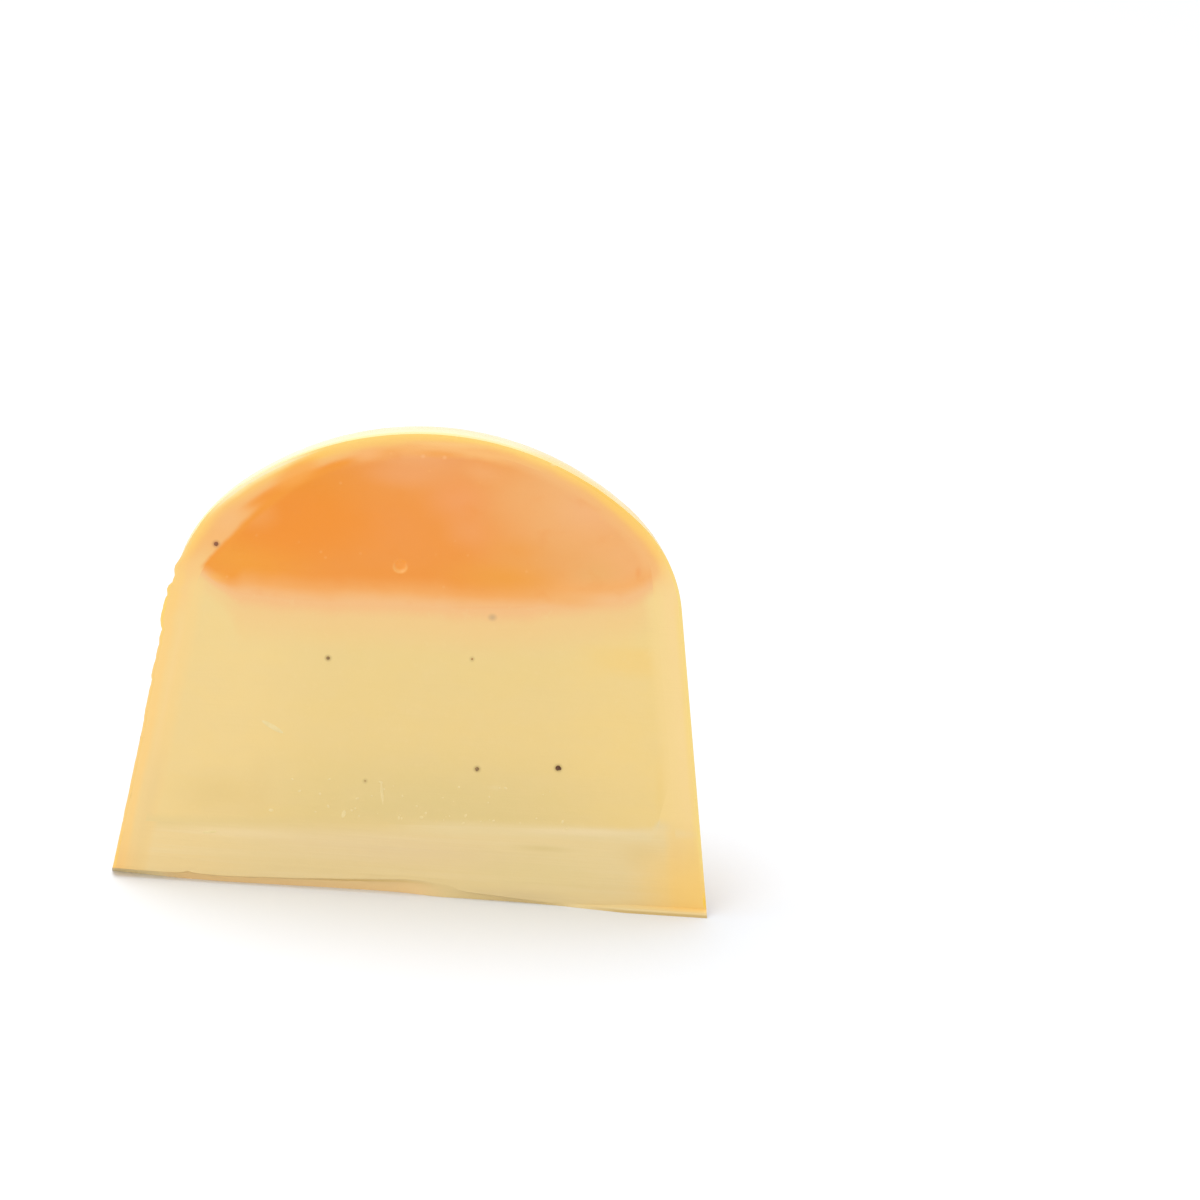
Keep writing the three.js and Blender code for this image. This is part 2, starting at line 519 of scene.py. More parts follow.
def fine_comb(piece):
    """Divides the left edge of a skin finely, at the cut and just behind it."""
    points = places(piece)
    zone = points[:, 0] < 0
    zone &= points[:, 2] > CHIP_ZONE["low"] - CHIP_ZONE["margin"]
    zone &= points[:, 2] < CHIP_ZONE["high"] + CHIP_ZONE["margin"]
    zone &= points[:, 1] < CUT_OFFSET + CHIP_ZONE["reach"]
    zone &= near_outline(points, MOULD)[0] < CHIP_ZONE["reach"]
    behind = [((0, cut_y + depth, 0), (0, 1, 0)) for depth in CHIP_PLANES]
    heights = np.arange(CHIP_ZONE["low"], CHIP_ZONE["high"], CHIP_ZONE["cell"])
    slice_part(piece, zone, behind + [level(z) for z in heights])


for piece in layers:
    comb(piece)
for piece in (coat, shell):
    fine_comb(piece)
for piece in layers:
    report(piece)

# %% [markdown]
# ### A bubble in the gel
#
# The knife opened one small bubble. A ball just behind the cut face takes its place, and a Boolean
# modifier leaves a shallow round pit.

# %% Bubble
BUBBLE = {"x": -1.4, "z": 16.7, "radius": 0.5, "sunk": 0.39}


def open_bubble(piece):
    centre = (BUBBLE["x"], cut_y - BUBBLE["sunk"], BUBBLE["z"])
    bpy.ops.object.select_all(action="DESELECT")
    bpy.ops.mesh.primitive_ico_sphere_add(
        subdivisions=4, radius=BUBBLE["radius"] * MM, location=[c * MM for c in centre]
    )
    ball = bpy.context.object
    boolean(piece, "DIFFERENCE", ball)
    bpy.data.objects.remove(ball)


open_bubble(gel)
report(gel)

# %% [markdown]
# ### Depths, kept as attributes
#
# The finishes have to follow the layers: the shell turns orange next to the gel, and the ganache is
# tinted below it. So each vertex keeps how deep it lies under the mould's outline, how far it is
# from the hollow's wall, and how high above the two layer surfaces. A shader reads such a value
# through an Attribute node. The coat also keeps how far round and how far up each point is.


# %% Attributes
def keep_value(piece, name, values):
    attribute = piece.data.attributes.new(name, "FLOAT", "POINT")
    attribute.data.foreach_set("value", np.asarray(values, np.float32))


def measure_depths(piece):
    """Stores each vertex's depths in the layers, in mm, before any mark is made."""
    points = places(piece)
    x, y, z = points.T
    upright_hollow = points - np.stack([lean(z), 0 * z, 0 * z], axis=1)
    depth, up = near_outline(points, MOULD)
    keep_value(piece, "under_outline", depth)
    keep_value(piece, "off_hollow", near_outline(upright_hollow, CAVITY)[0])
    keep_value(piece, "above_gel_floor", z - gel_floor(x, y))
    keep_value(piece, "above_cap_top", z - cap_top(x, y))
    keep_value(piece, "cut_share", on_cut(points))
    keep_value(piece, "up", up)
    keep_value(piece, "around", np.arctan2(y, x) * MOULD["foot"])


for piece in layers:
    measure_depths(piece)
print("attributes:", [a.name for a in gel.data.attributes if not a.name.startswith(".")])

# %% [markdown]
# ### What the knife left
#
# The cut is not quite flat. The blade left broad, faint waves and fine level drag marks, the soft
# gel sagged a little, and the last sliver at the foot broke away ahead of the blade and left a wavy
# lip. Every vertex near the cut moves by one rule of its place, so that neighbours stay flush.

# %% Relief of the cut
RELIEF_FADE = 1.2  # mm behind the cut where the relief has died out
WAVES = [(0.045, 6.0, 1), (0.014, 1.2, 2), (0.012, (9.0, 1.0, 0.5), 3)]  # (height, size, seed)
CAP_WAVES = (0.016, (7.0, 1.0, 0.35), 4)
LIP = [
    (-14.4, 0.43, 0.8),
    (-12.4, 0.4, 0.55),
    (-11.1, 0.43, 0.42),
    (-10.8, 0.57, 0.4),
    (-10.4, 0.46, 0.4),
    (-9.0, 0.42, 0.36),
    (-6.0, 0.52, 0.4),
    (-3.0, 0.68, 0.45),
    (-0.5, 0.86, 0.46),
    (0.6, 0.84, 0.3),
    (1.6, 0.7, 0.17),
    (2.6, 0.45, 0.22),
    (5.0, 0.27, 0.22),
    (7.0, 0.14, 0.08),
    (8.5, 0.15, -0.12),
    (10.5, 0.3, -0.34),
    (14.4, 0.34, -0.34),
]  # (x, height of the lip's wavy upper edge, how far it is set back at the floor)
LIP_ROW = 0.36  # the row of cells that follows the lip's edge
GEL_SAG = 0.1


def clouds(points, size, seed):
    """Smooth chance values from -1 to 1 at each point, with bumps of about the given size."""
    return np.array([noise.noise(Vector(p) + Vector((seed, 0, 0))) for p in points / size])


def follow_lip(points):
    """Moves the level rows of cells near the foot, so that one of them follows the lip's edge."""
    across, edges, _ = zip(*LIP)
    edge = np.interp(points[:, 0], across, edges)
    z = points[:, 2]
    low = z * edge / LIP_ROW
    high = edge + (z - LIP_ROW) * (FOOT_ZONE - edge) / (FOOT_ZONE - LIP_ROW)
    return np.where(z < LIP_ROW, low, np.where(z < FOOT_ZONE, high, z)), edge


def lip_share(points):
    """0 on the clean cut, rising to 1 down the broken lip."""
    new_z, edge = follow_lip(points)
    return np.clip(1.15 * (1 - new_z / edge), 0, 1) ** 0.5


def knife_relief(points, off_wall=None):
    """How far the cut surface lies behind the plane of the cut, and the cells' new heights."""
    x, z = points[:, 0], points[:, 2]
    face = np.stack([x, 0 * x, z], axis=1)
    depth = sum(height * clouds(face, size, seed) for height, size, seed in WAVES)
    height, size, seed = CAP_WAVES
    in_cap = smooth_share(cap_top(x, CUT_OFFSET) - z, 0, 0.6)
    depth += height * in_cap * clouds(face, size, seed)
    if off_wall is not None:
        in_gel = smooth_share(z - gel_floor(x, CUT_OFFSET), 0, 1.5)
        depth += GEL_SAG * in_gel * smooth_share(off_wall, 0, 1.2)
    new_z, edge = follow_lip(points)
    across, _, set_back = zip(*LIP)
    broken = np.clip(1 - new_z / edge, 0, 1) ** 0.3
    depth += np.interp(x, across, set_back) * broken
    return depth, new_z


def carve(piece, off_wall=None):
    """Applies the relief, which fades with the distance behind the cut."""
    points = places(piece)
    fade = np.clip(1 - (points[:, 1] - CUT_OFFSET) / RELIEF_FADE, 0, 1)
    near = fade > 0
    depth, new_z = knife_relief(points[near], None if off_wall is None else off_wall[near])
    lip = np.zeros(len(points))
    lip[near] = lip_share(points[near]) * (fade[near] > 0.5)
    keep_value(piece, "lip", lip)
    points[near, 1] += depth * fade[near]
    points[near, 2] += (new_z - points[near, 2]) * fade[near] ** 2
    place(piece, points)


def stored(piece, name):
    values = np.empty(len(piece.data.vertices), np.float32)
    piece.data.attributes[name].data.foreach_get("value", values)
    return values


for piece in layers:
    carve(piece, stored(piece, "off_hollow") if piece is gel else None)
print("the cut's relief is in place")

# %% [markdown]
# ### Chipped edge
#
# The blade left the half along its left edge, and pushed small chips of coat and shell outwards
# there. The outline steps in by a tenth of a millimetre and out by up to a quarter. Above the
# middle, a flake of the coat stands proud.

# %% Chips
CHIPS = [
    (20.4, 0.0),
    (19.2, 0.05),
    (18.0, 0.10),
    (16.9, 0.09),
    (16.5, 0.06),
    (16.3, 0.0),
    (16.05, -0.09),
    (15.8, -0.07),
    (15.5, 0.0),
    (15.15, -0.04),
    (15.0, -0.18),
    (14.8, -0.22),
    (14.5, -0.15),
    (14.3, -0.22),
    (13.3, -0.24),
    (13.0, -0.16),
    (12.75, -0.05),
    (12.4, -0.10),
    (12.0, -0.05),
    (11.6, -0.09),
    (11.3, -0.05),
    (10.8, -0.10),
    (10.4, -0.09),
    (10.2, -0.03),
    (9.6, -0.05),
    (8.6, -0.04),
    (8.0, 0.0),
]  # (height, how far the edge is set in), listed downwards
CHIP_ROUGHNESS = {"height": 0.02, "size": 0.25, "seed": 5}
CHIP_BEHIND = (0.08, 0.6)  # mm behind the cut where the chips begin and have finished fading
CHIP_INWARDS = (0.15, 0.95)  # the same from the outline towards the hollow


def chip(piece):
    """Sets in the left edge by the list, fading behind the cut and towards the hollow."""
    points = places(piece)
    x, y, z = points.T
    heights, amounts = zip(*reversed(CHIPS))
    share = 1 - smooth_share(y - CUT_OFFSET, *CHIP_BEHIND)
    share *= 1 - smooth_share(stored(piece, "under_outline"), *CHIP_INWARDS)
    share[x > 0] = 0
    near = share > 0
    rough = np.zeros(len(points))
    height, size, seed = CHIP_ROUGHNESS.values()
    rough[near] = height * clouds(points[near], size, seed)
    points[:, 0] += share * (np.interp(z, heights, amounts) + rough)
    place(piece, points)
    return near.sum()


for piece in (coat, shell):
    print(piece.name, "has", chip(piece), "vertices at its chipped edge")

# %% [markdown]
# ### Smooth shading
#
# Faces that meet at a low angle are shaded as one surface, and the edges of the cut stay sharp.

# %% Smooth the layers
SMOOTH_ANGLE = math.radians(35)


def smooth(piece):
    alone(piece)
    bpy.ops.object.shade_smooth_by_angle(angle=SMOOTH_ANGLE)


for piece in layers:
    smooth(piece)
print("smoothed", len(layers), "pieces")

# %% [markdown]
# ## Vanilla seeds and crumbs
#
# A few vanilla seeds show in the cut: brown, glossy grains of up to 0.3 mm, one in the shell and the
# others in the ganache. One seed is shaped from a ball, with one end drawn out, and the pieces that
# show are copies, each turned by chance. Small crumbs and smears of ganache, which the blade pushed
# about, are flat lumps, also copied from balls.

# %% Seeds and crumbs
SEEDS = [
    (-10.24, 17.25, 0.12),
    (-4.59, 11.88, 0.09),
    (2.88, 6.75, 0.1),
    (6.77, 7.08, 0.14),
    (2.3, 12.32, 0.05),
    (-2.46, 5.76, 0.045),
]  # (x, z, radius)
SMEARS = [
    (-7.05, 8.2, 0.6, 0.12, 28),
    (-1.6, 5.1, 0.75, 0.07, 82),
    (-9.8, 2.62, 0.35, 0.07, -8),
    (-1.7, 5.75, 0.12, 0.06, 20),
    (-3.4, 4.0, 0.1, 0.2, 12),
    (0.35, 4.1, 0.1, 0.08, 0),
    (-6.9, 3.95, 0.12, 0.08, 0),
]  # (x, z, half length, half height, turn in degrees)
SEED_END = {"from": 0.3, "stretch": (1.35, 0.8, 0.8)}  # the drawn-out end, on a ball of radius 1
SEED_SUNK = 0.3  # share of its radius that a seed's middle lies behind the surface
SMEAR_THICKNESS = 0.016
CRUMB_COUNT = 46
CRUMB_ZONE = {"left": -7.0, "right": 7.5, "low": 3.95, "high": 5.9}
CRUMB_SIZE = (0.025, 0.065)
CRUMB_LENGTH = (0.8, 1.8)  # times its size
CRUMB_SETTLING = 1.6  # above 1, more of the crumbs lie low


def cut_depth(x, z):
    """How far behind the plane of the cut the finished surface lies at one place."""
    off_wall = 0.0
    if z > gel_floor(x, CUT_OFFSET):
        off_wall = near_outline(np.array([[x - lean(z), CUT_OFFSET, z]]), CAVITY)[0]
    return knife_relief(np.array([[x, CUT_OFFSET, z]]), off_wall)[0][0]


def ball(name, fineness):
    bpy.ops.object.select_all(action="DESELECT")
    bpy.ops.mesh.primitive_ico_sphere_add(subdivisions=fineness, radius=1, location=(0, 0, 0))
    piece = bpy.context.object
    piece.name = piece.data.name = name
    return piece


def shape_seed():
    """A ball with one end drawn out and the other slightly flattened."""
    seed = ball("seed", 3)
    edit(seed)
    mesh = bmesh.from_edit_mesh(seed.data)
    for vertex in mesh.verts:
        vertex.select = vertex.co.x > SEED_END["from"]
    mesh.select_flush_mode()
    bmesh.update_edit_mesh(seed.data)
    bpy.ops.transform.resize(value=SEED_END["stretch"], center_override=(SEED_END["from"], 0, 0))
    end_edit()
    return seed


def set_in(model, x, z, sizes, turn, sunk):
    """A copy of a model in the cut face, with its half sizes in mm and its turn in radians."""
    twin = copy_of(model, model.name)
    twin.location = Vector((x, cut_y + cut_depth(x, z) + sunk, z)) * MM
    twin.rotation_euler = turn
    twin.scale = Vector(sizes) * MM
    return twin


def join(name, parts):
    bpy.ops.object.select_all(action="DESELECT")
    for part in parts:
        part.select_set(True)
    bpy.context.view_layer.objects.active = parts[0]
    bpy.ops.object.transform_apply(location=True, rotation=True, scale=True)
    bpy.ops.object.join()
    piece = bpy.context.object
    piece.name = piece.data.name = name
    return piece


draw = random.Random(8)
seed_model = shape_seed()
seeds = []
for x, z, radius in SEEDS:
    turn = [draw.uniform(0, math.tau) for _ in range(3)]
    seeds.append(set_in(seed_model, x, z, [radius] * 3, turn, SEED_SUNK * radius))
specks = join("vanilla_specks", seeds)

crumb_model = ball("crumb", 3)
crumbs = []
for x, z, length, height, turn in SMEARS:
    sizes = (length, SMEAR_THICKNESS, height)
    crumbs.append(set_in(crumb_model, x, z, sizes, (0, math.radians(turn), 0), 0.0))
small_model = ball("small_crumb", 2)
for _ in range(CRUMB_COUNT):
    x = draw.uniform(CRUMB_ZONE["left"], CRUMB_ZONE["right"])
    share_up = draw.random() ** CRUMB_SETTLING
    z = CRUMB_ZONE["low"] + (CRUMB_ZONE["high"] - CRUMB_ZONE["low"]) * share_up
    size = draw.uniform(*CRUMB_SIZE)
    sizes = (size * draw.uniform(*CRUMB_LENGTH), SMEAR_THICKNESS, size)
    crumbs.append(set_in(small_model, x, z, sizes, (0, draw.uniform(0, math.pi), 0), 0.0))
crumbs = join("cut_crumbs", crumbs)
for model in (seed_model, crumb_model, small_model):
    bpy.data.objects.remove(model)
for piece in (specks, crumbs):
    smooth(piece)
    report(piece)

# %% [markdown]
# ## Finishes: shared tools
#
# A finish is built like paint: a ground colour, and one tint laid over another, each through a mask.
# The masks come from a few shader node groups that all the finishes share. `seen` turns a colour as
# it should look in the picture into the paint that gives it under this light.

# %% Shader tools
GLOSS_ON_CUT = 0.03  # what the gloss adds to every colour on the cut face
DARKEST, PALEST = 0.002, 0.98  # the limits of a paint
VECTOR_SOCKETS = ("Place", "Centre", "Size")  # the other inputs of the shared groups are numbers


def linear(value):
    share = value / 255
    return share / 12.92 if share < 0.04045 else ((share + 0.055) / 1.055) ** 2.4


def seen(red, green, blue):
    """The paint that looks like this 8-bit colour under the scene's light."""
    paint = [linear(c) - GLOSS_ON_CUT for c in (red, green, blue)]
    return (*[min(max(c, DARKEST), PALEST) for c in paint], 1.0)


def plug_in(tree, socket, value):
    """Links another node's output to a socket, or sets the socket's own value."""
    if isinstance(value, bpy.types.NodeSocket):
        tree.links.new(value, socket)
    else:
        socket.default_value = value


def add(tree, kind, sockets=None, **settings):
    """Adds a shader node, with its settings and with what goes into its sockets."""
    node = tree.nodes.new("ShaderNode" + kind)
    for name, value in settings.items():
        setattr(node, name, value)
    for name, value in (sockets or {}).items():
        plug_in(tree, node.inputs[name], value)
    return node


def maths(tree, operation, first, second=0.0):
    return add(tree, "Math", {0: first, 1: second}, operation=operation).outputs[0]


def vector(tree, operation, first, second=None):
    sockets = {0: first} if second is None else {0: first, 1: second}
    return add(tree, "VectorMath", sockets, operation=operation).outputs[0]


def rotated(tree, place, angle, axis):
    sockets = {"Vector": place, "Angle": angle}
    return add(tree, "VectorRotate", sockets, rotation_type=axis).outputs[0]


def chance(tree, place, scale=1.0, detail=2.0):
    """Smooth noise around one half."""
    sockets = {"Vector": place, "Scale": scale, "Detail": detail}
    return add(tree, "TexNoise", sockets).outputs["Fac"]


def ramp(tree, value, low, high, from_zero=True):
    """A smooth rise from 0 to 1 between two values, or a fall from 1 to 0."""
    ends = {"To Min": 0.0, "To Max": 1.0} if from_zero else {"To Min": 1.0, "To Max": 0.0}
    sockets = {"Value": value, "From Min": low, "From Max": high, **ends}
    return add(tree, "MapRange", sockets, interpolation_type="SMOOTHSTEP").outputs["Result"]


def new_group(name, inputs, output):
    """A shader node group with named inputs and one named output."""
    group = bpy.data.node_groups.new(name, "ShaderNodeTree")
    for socket in inputs:
        kind = "NodeSocketVector" if socket in VECTOR_SOCKETS else "NodeSocketFloat"
        group.interface.new_socket(socket, in_out="INPUT", socket_type=kind)
    group.interface.new_socket(output, in_out="OUTPUT", socket_type="NodeSocketFloat")
    given = group.nodes.new("NodeGroupInput").outputs
    result = group.nodes.new("NodeGroupOutput").inputs
    return group, given, result


print("paint for a mid grey:", [round(c, 3) for c in seen(128, 128, 128)])

# %% [markdown]
# ## Finishes: shared groups
#
# `soft_spot` is a round or oval patch in the plane of the cut. `wavy_band` is a border that follows
# a stored depth, with an uneven edge. `cloudiness` is slow mottling, stretched where its size is
# uneven. `drag_lines` are the level marks of the blade, and `fine_grain` is the surface of set
# cocoa butter, seen close up.


# %% Shared groups
DRAG_LAYERS = [(0.65, 1.0), (0.35, 0.35)]  # (share of the height, share of the lines' width)
CELL_SHARE = 0.4  # how much of the grain comes from its cells


def soft_spot_group():
    inputs = ("Place", "Centre", "Size", "Turn", "Softness")
    group, given, result = new_group("soft_spot", inputs, "Mask")
    offset = vector(group, "SUBTRACT", given["Place"], given["Centre"])
    offset = rotated(group, offset, given["Turn"], "Y_AXIS")
    flat = vector(group, "MULTIPLY", offset, (1, 0, 1))
    share = vector(group, "DIVIDE", flat, given["Size"])
    length = add(group, "VectorMath", {0: share}, operation="LENGTH").outputs["Value"]
    inner = maths(group, "SUBTRACT", 1.0, given["Softness"])
    mask = ramp(group, length, inner, 1.0, from_zero=False)
    plug_in(group, result["Mask"], mask)
    return group


def wavy_band_group():
    inputs = ("Place", "Depth", "Full", "None", "Wobble", "Wave")
    group, given, result = new_group("wavy_band", inputs, "Mask")
    shrink = maths(group, "DIVIDE", 1.0, given["Wave"])
    shift = maths(group, "SUBTRACT", chance(group, given["Place"], shrink), 0.5)
    depth = maths(group, "ADD", given["Depth"], maths(group, "MULTIPLY", shift, given["Wobble"]))
    mask = ramp(group, depth, given["Full"], given["None"], from_zero=False)
    plug_in(group, result["Mask"], mask)
    return group


def cloudiness_group():
    inputs = ("Place", "Size", "Detail", "Low", "High")
    group, given, result = new_group("cloudiness", inputs, "Mask")
    scaled = vector(group, "DIVIDE", given["Place"], given["Size"])
    noise_value = chance(group, scaled, detail=given["Detail"])
    mask = ramp(group, noise_value, given["Low"], given["High"])
    plug_in(group, result["Mask"], mask)
    return group


def drag_lines_group():
    group, given, result = new_group("drag_lines", ("Place", "Length", "Width"), "Height")
    total = None
    for share, width_share in DRAG_LAYERS:
        width = maths(group, "MULTIPLY", given["Width"], width_share)
        size = add(group, "CombineXYZ", {0: given["Length"], 1: given["Length"], 2: width})
        scaled = vector(group, "DIVIDE", given["Place"], size.outputs[0])
        part = maths(group, "MULTIPLY", chance(group, scaled, detail=3.0), share)
        total = part if total is None else maths(group, "ADD", total, part)
    plug_in(group, result["Height"], total)
    return group


def fine_grain_group():
    group, given, result = new_group("fine_grain", ("Place", "Grain"), "Height")
    shrink = maths(group, "DIVIDE", 1.0, given["Grain"])
    soft = chance(group, given["Place"], shrink, detail=4.0)
    cells = add(group, "TexVoronoi", {"Vector": given["Place"], "Scale": shrink})
    cell_part = maths(group, "MULTIPLY", cells.outputs["Distance"], CELL_SHARE)
    plug_in(group, result["Height"], maths(group, "ADD", soft, cell_part))
    return group


GROUPS = {
    "spot": soft_spot_group(),
    "band": wavy_band_group(),
    "clouds": cloudiness_group(),
    "drag": drag_lines_group(),
    "grain": fine_grain_group(),
}
print("shared groups:", [group.name for group in GROUPS.values()])

# %% [markdown]
# ## The finish as a stack of tints
#
# `Finish` holds a material under construction. Its place vector is in millimetres, counted from the
# mould's axis. Masks are made by the methods below, `tint` lays a colour over all before it,
# `patches` lays several oval ones in turn, and `done` wires the gloss and the fine relief.


# %% Finish
X, Y, Z = range(3)  # the axes of a place


class Finish:
    def __init__(self, name, ground):
        self.material = bpy.data.materials.new(name)
        self.material.use_nodes = True
        self.tree = self.material.node_tree
        self.shader = self.tree.nodes["Principled BSDF"]
        place_in = add(self.tree, "TexCoord").outputs["Object"]
        centred = add(
            self.tree,
            "Mapping",
            {"Vector": place_in, "Scale": (1 / MM, 1 / MM, 1 / MM), "Location": (0, -axis_y, 0)},
        )
        self.place = centred.outputs[0]
        self.colour = seen(*ground)
        self.relief = []

    def group(self, kind, output, sockets):
        node = self.tree.nodes.new("ShaderNodeGroup")
        node.node_tree = GROUPS[kind]
        for name, value in sockets.items():
            plug_in(self.tree, node.inputs[name], value)
        return node.outputs[output]

    def depth(self, name):
        """One of the values kept at the vertices."""
        node = add(self.tree, "Attribute", attribute_name=name, attribute_type="GEOMETRY")
        return node.outputs["Fac"]

    def on_cut(self):
        """1 on the cut face and 0 outside, with a sharp change at its edge."""
        return ramp(self.tree, self.depth("cut_share"), 0.9, 0.99)

    def off_cut(self):
        return maths(self.tree, "SUBTRACT", 1.0, self.on_cut())

    def spot(self, x, z, width, height, turn=0, softness=1.0):
        """An oval patch on the cut, by its middle, its half width and its half height in mm."""
        sockets = {
            "Place": self.place,
            "Centre": (x, 0, z),
            "Size": (width, 1, height),
            "Turn": math.radians(turn),
            "Softness": softness,
        }
        return self.group("spot", "Mask", sockets)

    def band(self, depth, full, none, wobble=0.0, wave=1.0):
        """1 where a kept value is at full, and 0 where it has reached none."""
        value = self.depth(depth) if isinstance(depth, str) else depth
        names = ("Place", "Depth", "Full", "None", "Wobble", "Wave")
        sockets = dict(zip(names, (self.place, value, full, none, wobble, wave)))
        return self.group("band", "Mask", sockets)

    def clouds(self, size, low=0.35, high=0.65, detail=2.0):
        size = size if isinstance(size, tuple) else (size, size, size)
        names = ("Place", "Size", "Detail", "Low", "High")
        return self.group("clouds", "Mask", dict(zip(names, (self.place, size, detail, low, high))))

    def drag(self, length, width):
        sockets = {"Place": self.place, "Length": length, "Width": width}
        return self.group("drag", "Height", sockets)

    def grain(self, size):
        return self.group("grain", "Height", {"Place": self.place, "Grain": size})

    def side(self, axis, none, full):
        """A mask that rises along one axis of the place, from none to full."""
        parts = add(self.tree, "SeparateXYZ", {0: self.place})
        return ramp(self.tree, parts.outputs[axis], *sorted((none, full)), from_zero=full > none)

    def both(self, *masks):
        total = masks[0]
        for mask in masks[1:]:
            total = maths(self.tree, "MULTIPLY", total, mask)
        return total

    def tint(self, colour, mask, strength=1.0):
        """Lays a colour, as it should look, over all before it, where the mask is 1."""
        share = mask if strength == 1.0 else maths(self.tree, "MULTIPLY", mask, strength)
        node = add(self.tree, "Mix", data_type="RGBA")
        sockets = {socket.identifier: socket for socket in node.inputs}
        plug_in(self.tree, sockets["Factor_Float"], share)
        plug_in(self.tree, sockets["A_Color"], self.colour)
        plug_in(self.tree, sockets["B_Color"], seen(*colour))
        self.colour = next(out for out in node.outputs if out.identifier == "Result_Color")

    def patch(self, colour, place, size, strength=1.0, turn=0, softness=1.0):
        """A tint in one oval patch, by its (x, z) and its half width and half height."""
        self.tint(colour, self.spot(*place, *size, turn, softness), strength)

    def patches(self, *rows):
        """Oval patches in turn: colour, (x, z), (half width, half height), then strength and turn."""
        for row in rows:
            self.patch(*row)

    def raise_by(self, height, amount):
        """Adds fine relief: a height from 0 to 1, times an amount in mm."""
        self.relief.append(maths(self.tree, "MULTIPLY", height, amount))

    def done(self, roughness, **gloss):
        """Wires the colour, the roughness and the relief, and sets the even gloss values."""
        plug_in(self.tree, self.shader.inputs["Base Color"], self.colour)
        plug_in(self.tree, self.shader.inputs["Roughness"], roughness)
        for name, value in gloss.items():
            self.shader.inputs[name.replace("_", " ").title()].default_value = value
        total = None
        for part in self.relief:
            total = part if total is None else maths(self.tree, "ADD", total, part)
        bump = add(self.tree, "Bump", {"Height": total, "Distance": MM, "Strength": 1.0})
        plug_in(self.tree, self.shader.inputs["Normal"], bump.outputs["Normal"])
        return self.material

    def vary(self, mask, low, high):
        """A value that runs from low to high with a mask."""
        sockets = {"Value": mask, "To Min": low, "To Max": high}
        return add(self.tree, "MapRange", sockets).outputs["Result"]


print("the finish class is ready")

# %% [markdown]
# ## Blends that neighbours share
#
# Where two layers meet, the blade smeared them into each other, so the borders are soft. Each blend
# below is laid over both neighbours and depends only on kept depths and places, so that the colours
# agree on the two sides of the border.


# %% Blends
# Patches that lie over the border of two layers, so both layers' finishes lay them
PALE_LINE_END = ((242, 214, 154), (12.3, 4.12), (2.0, 0.4), 0.75)
DEEP_BORDER = ((243, 175, 100), (6.6, 15.6), (2.3, 0.55), 0.6)
SEED_HALO = 0.15  # mm that the blur around a seed reaches beyond it
HALO_STRENGTH = 0.85
HALO_PER_MM = 8  # a tiny seed's halo is weaker: this share for each mm of its radius


def blend_walls(finish):
    """The border between the shell and the two lower fillings."""
    under_gel = finish.band("above_gel_floor", -1.0, 0.2)
    border = finish.both(finish.band("off_hollow", 0.05, 0.7, 0.2, 1.5), under_gel)
    left = finish.both(border, finish.side(X, 1.0, -3.0))
    right = finish.both(border, finish.side(X, -1.0, 3.0))
    finish.tint((246, 210, 139), left, 0.85)
    finish.tint((238, 206, 142), finish.both(left, finish.side(Z, 8.5, 4.5)), 0.85)
    finish.tint((246, 214, 144), right, 0.85)
    finish.tint((240, 204, 137), finish.both(right, finish.side(Z, 5.5, 2.5)), 0.9)


def blend_gel_wall(finish):
    """The border between the shell and the gel: crisp on the left, hazy on the right."""
    above = finish.band("above_gel_floor", 0.6, 0.0)
    soft = finish.both(finish.band("off_hollow", 0.0, 0.5, 0.25, 1.0), above)
    crisp = finish.both(finish.band("off_hollow", 0.0, 0.3, 0.2, 1.0), above)
    finish.tint((246, 171, 94), finish.both(soft, finish.spot(-0.5, 22.6, 5.5, 2.2, 0, 0.5)), 0.9)
    finish.tint((251, 188, 115), finish.both(soft, finish.spot(1.4, 22.9, 4.2, 1.3, 0, 0.6)), 0.9)
    finish.tint((244, 155, 58), finish.both(crisp, finish.side(X, -3.2, -4.8)), 0.95)
    finish.tint((246, 185, 118), finish.both(soft, finish.side(X, 2.0, 6.0)), 0.9)


def crown_border(finish):
    """The uneven border between the shell and the gel, along the crown."""
    finish.patches(
        ((249, 169, 79), (-6.6, 21.05), (1.7, 0.7), 0.75, 35, 0.7),
        ((250, 184, 117), (-3.3, 22.25), (1.2, 0.5), 0.7, 15),
        ((245, 165, 82), (0.1, 22.5), (1.7, 0.32), 0.8),
        ((255, 203, 130), (0.8, 23.0), (3.4, 0.24), 0.6),
    )


def above_blurred_floor(finish):
    """Height above the gel's underside, whose blur is shifted in two places and thin far left."""
    left = maths(finish.tree, "MULTIPLY", finish.side(X, -3.6, -5.0), 0.15)
    clear = finish.both(finish.side(X, 0.3, 1.8), finish.side(X, 6.3, 4.8))
    lower = maths(finish.tree, "ADD", maths(finish.tree, "MULTIPLY", clear, 0.2), left)
    thin = finish.vary(finish.side(X, -8.8, -10.0), 1.0, 2.3)
    height = maths(finish.tree, "MULTIPLY", finish.depth("above_gel_floor"), thin)
    return maths(finish.tree, "ADD", height, lower)


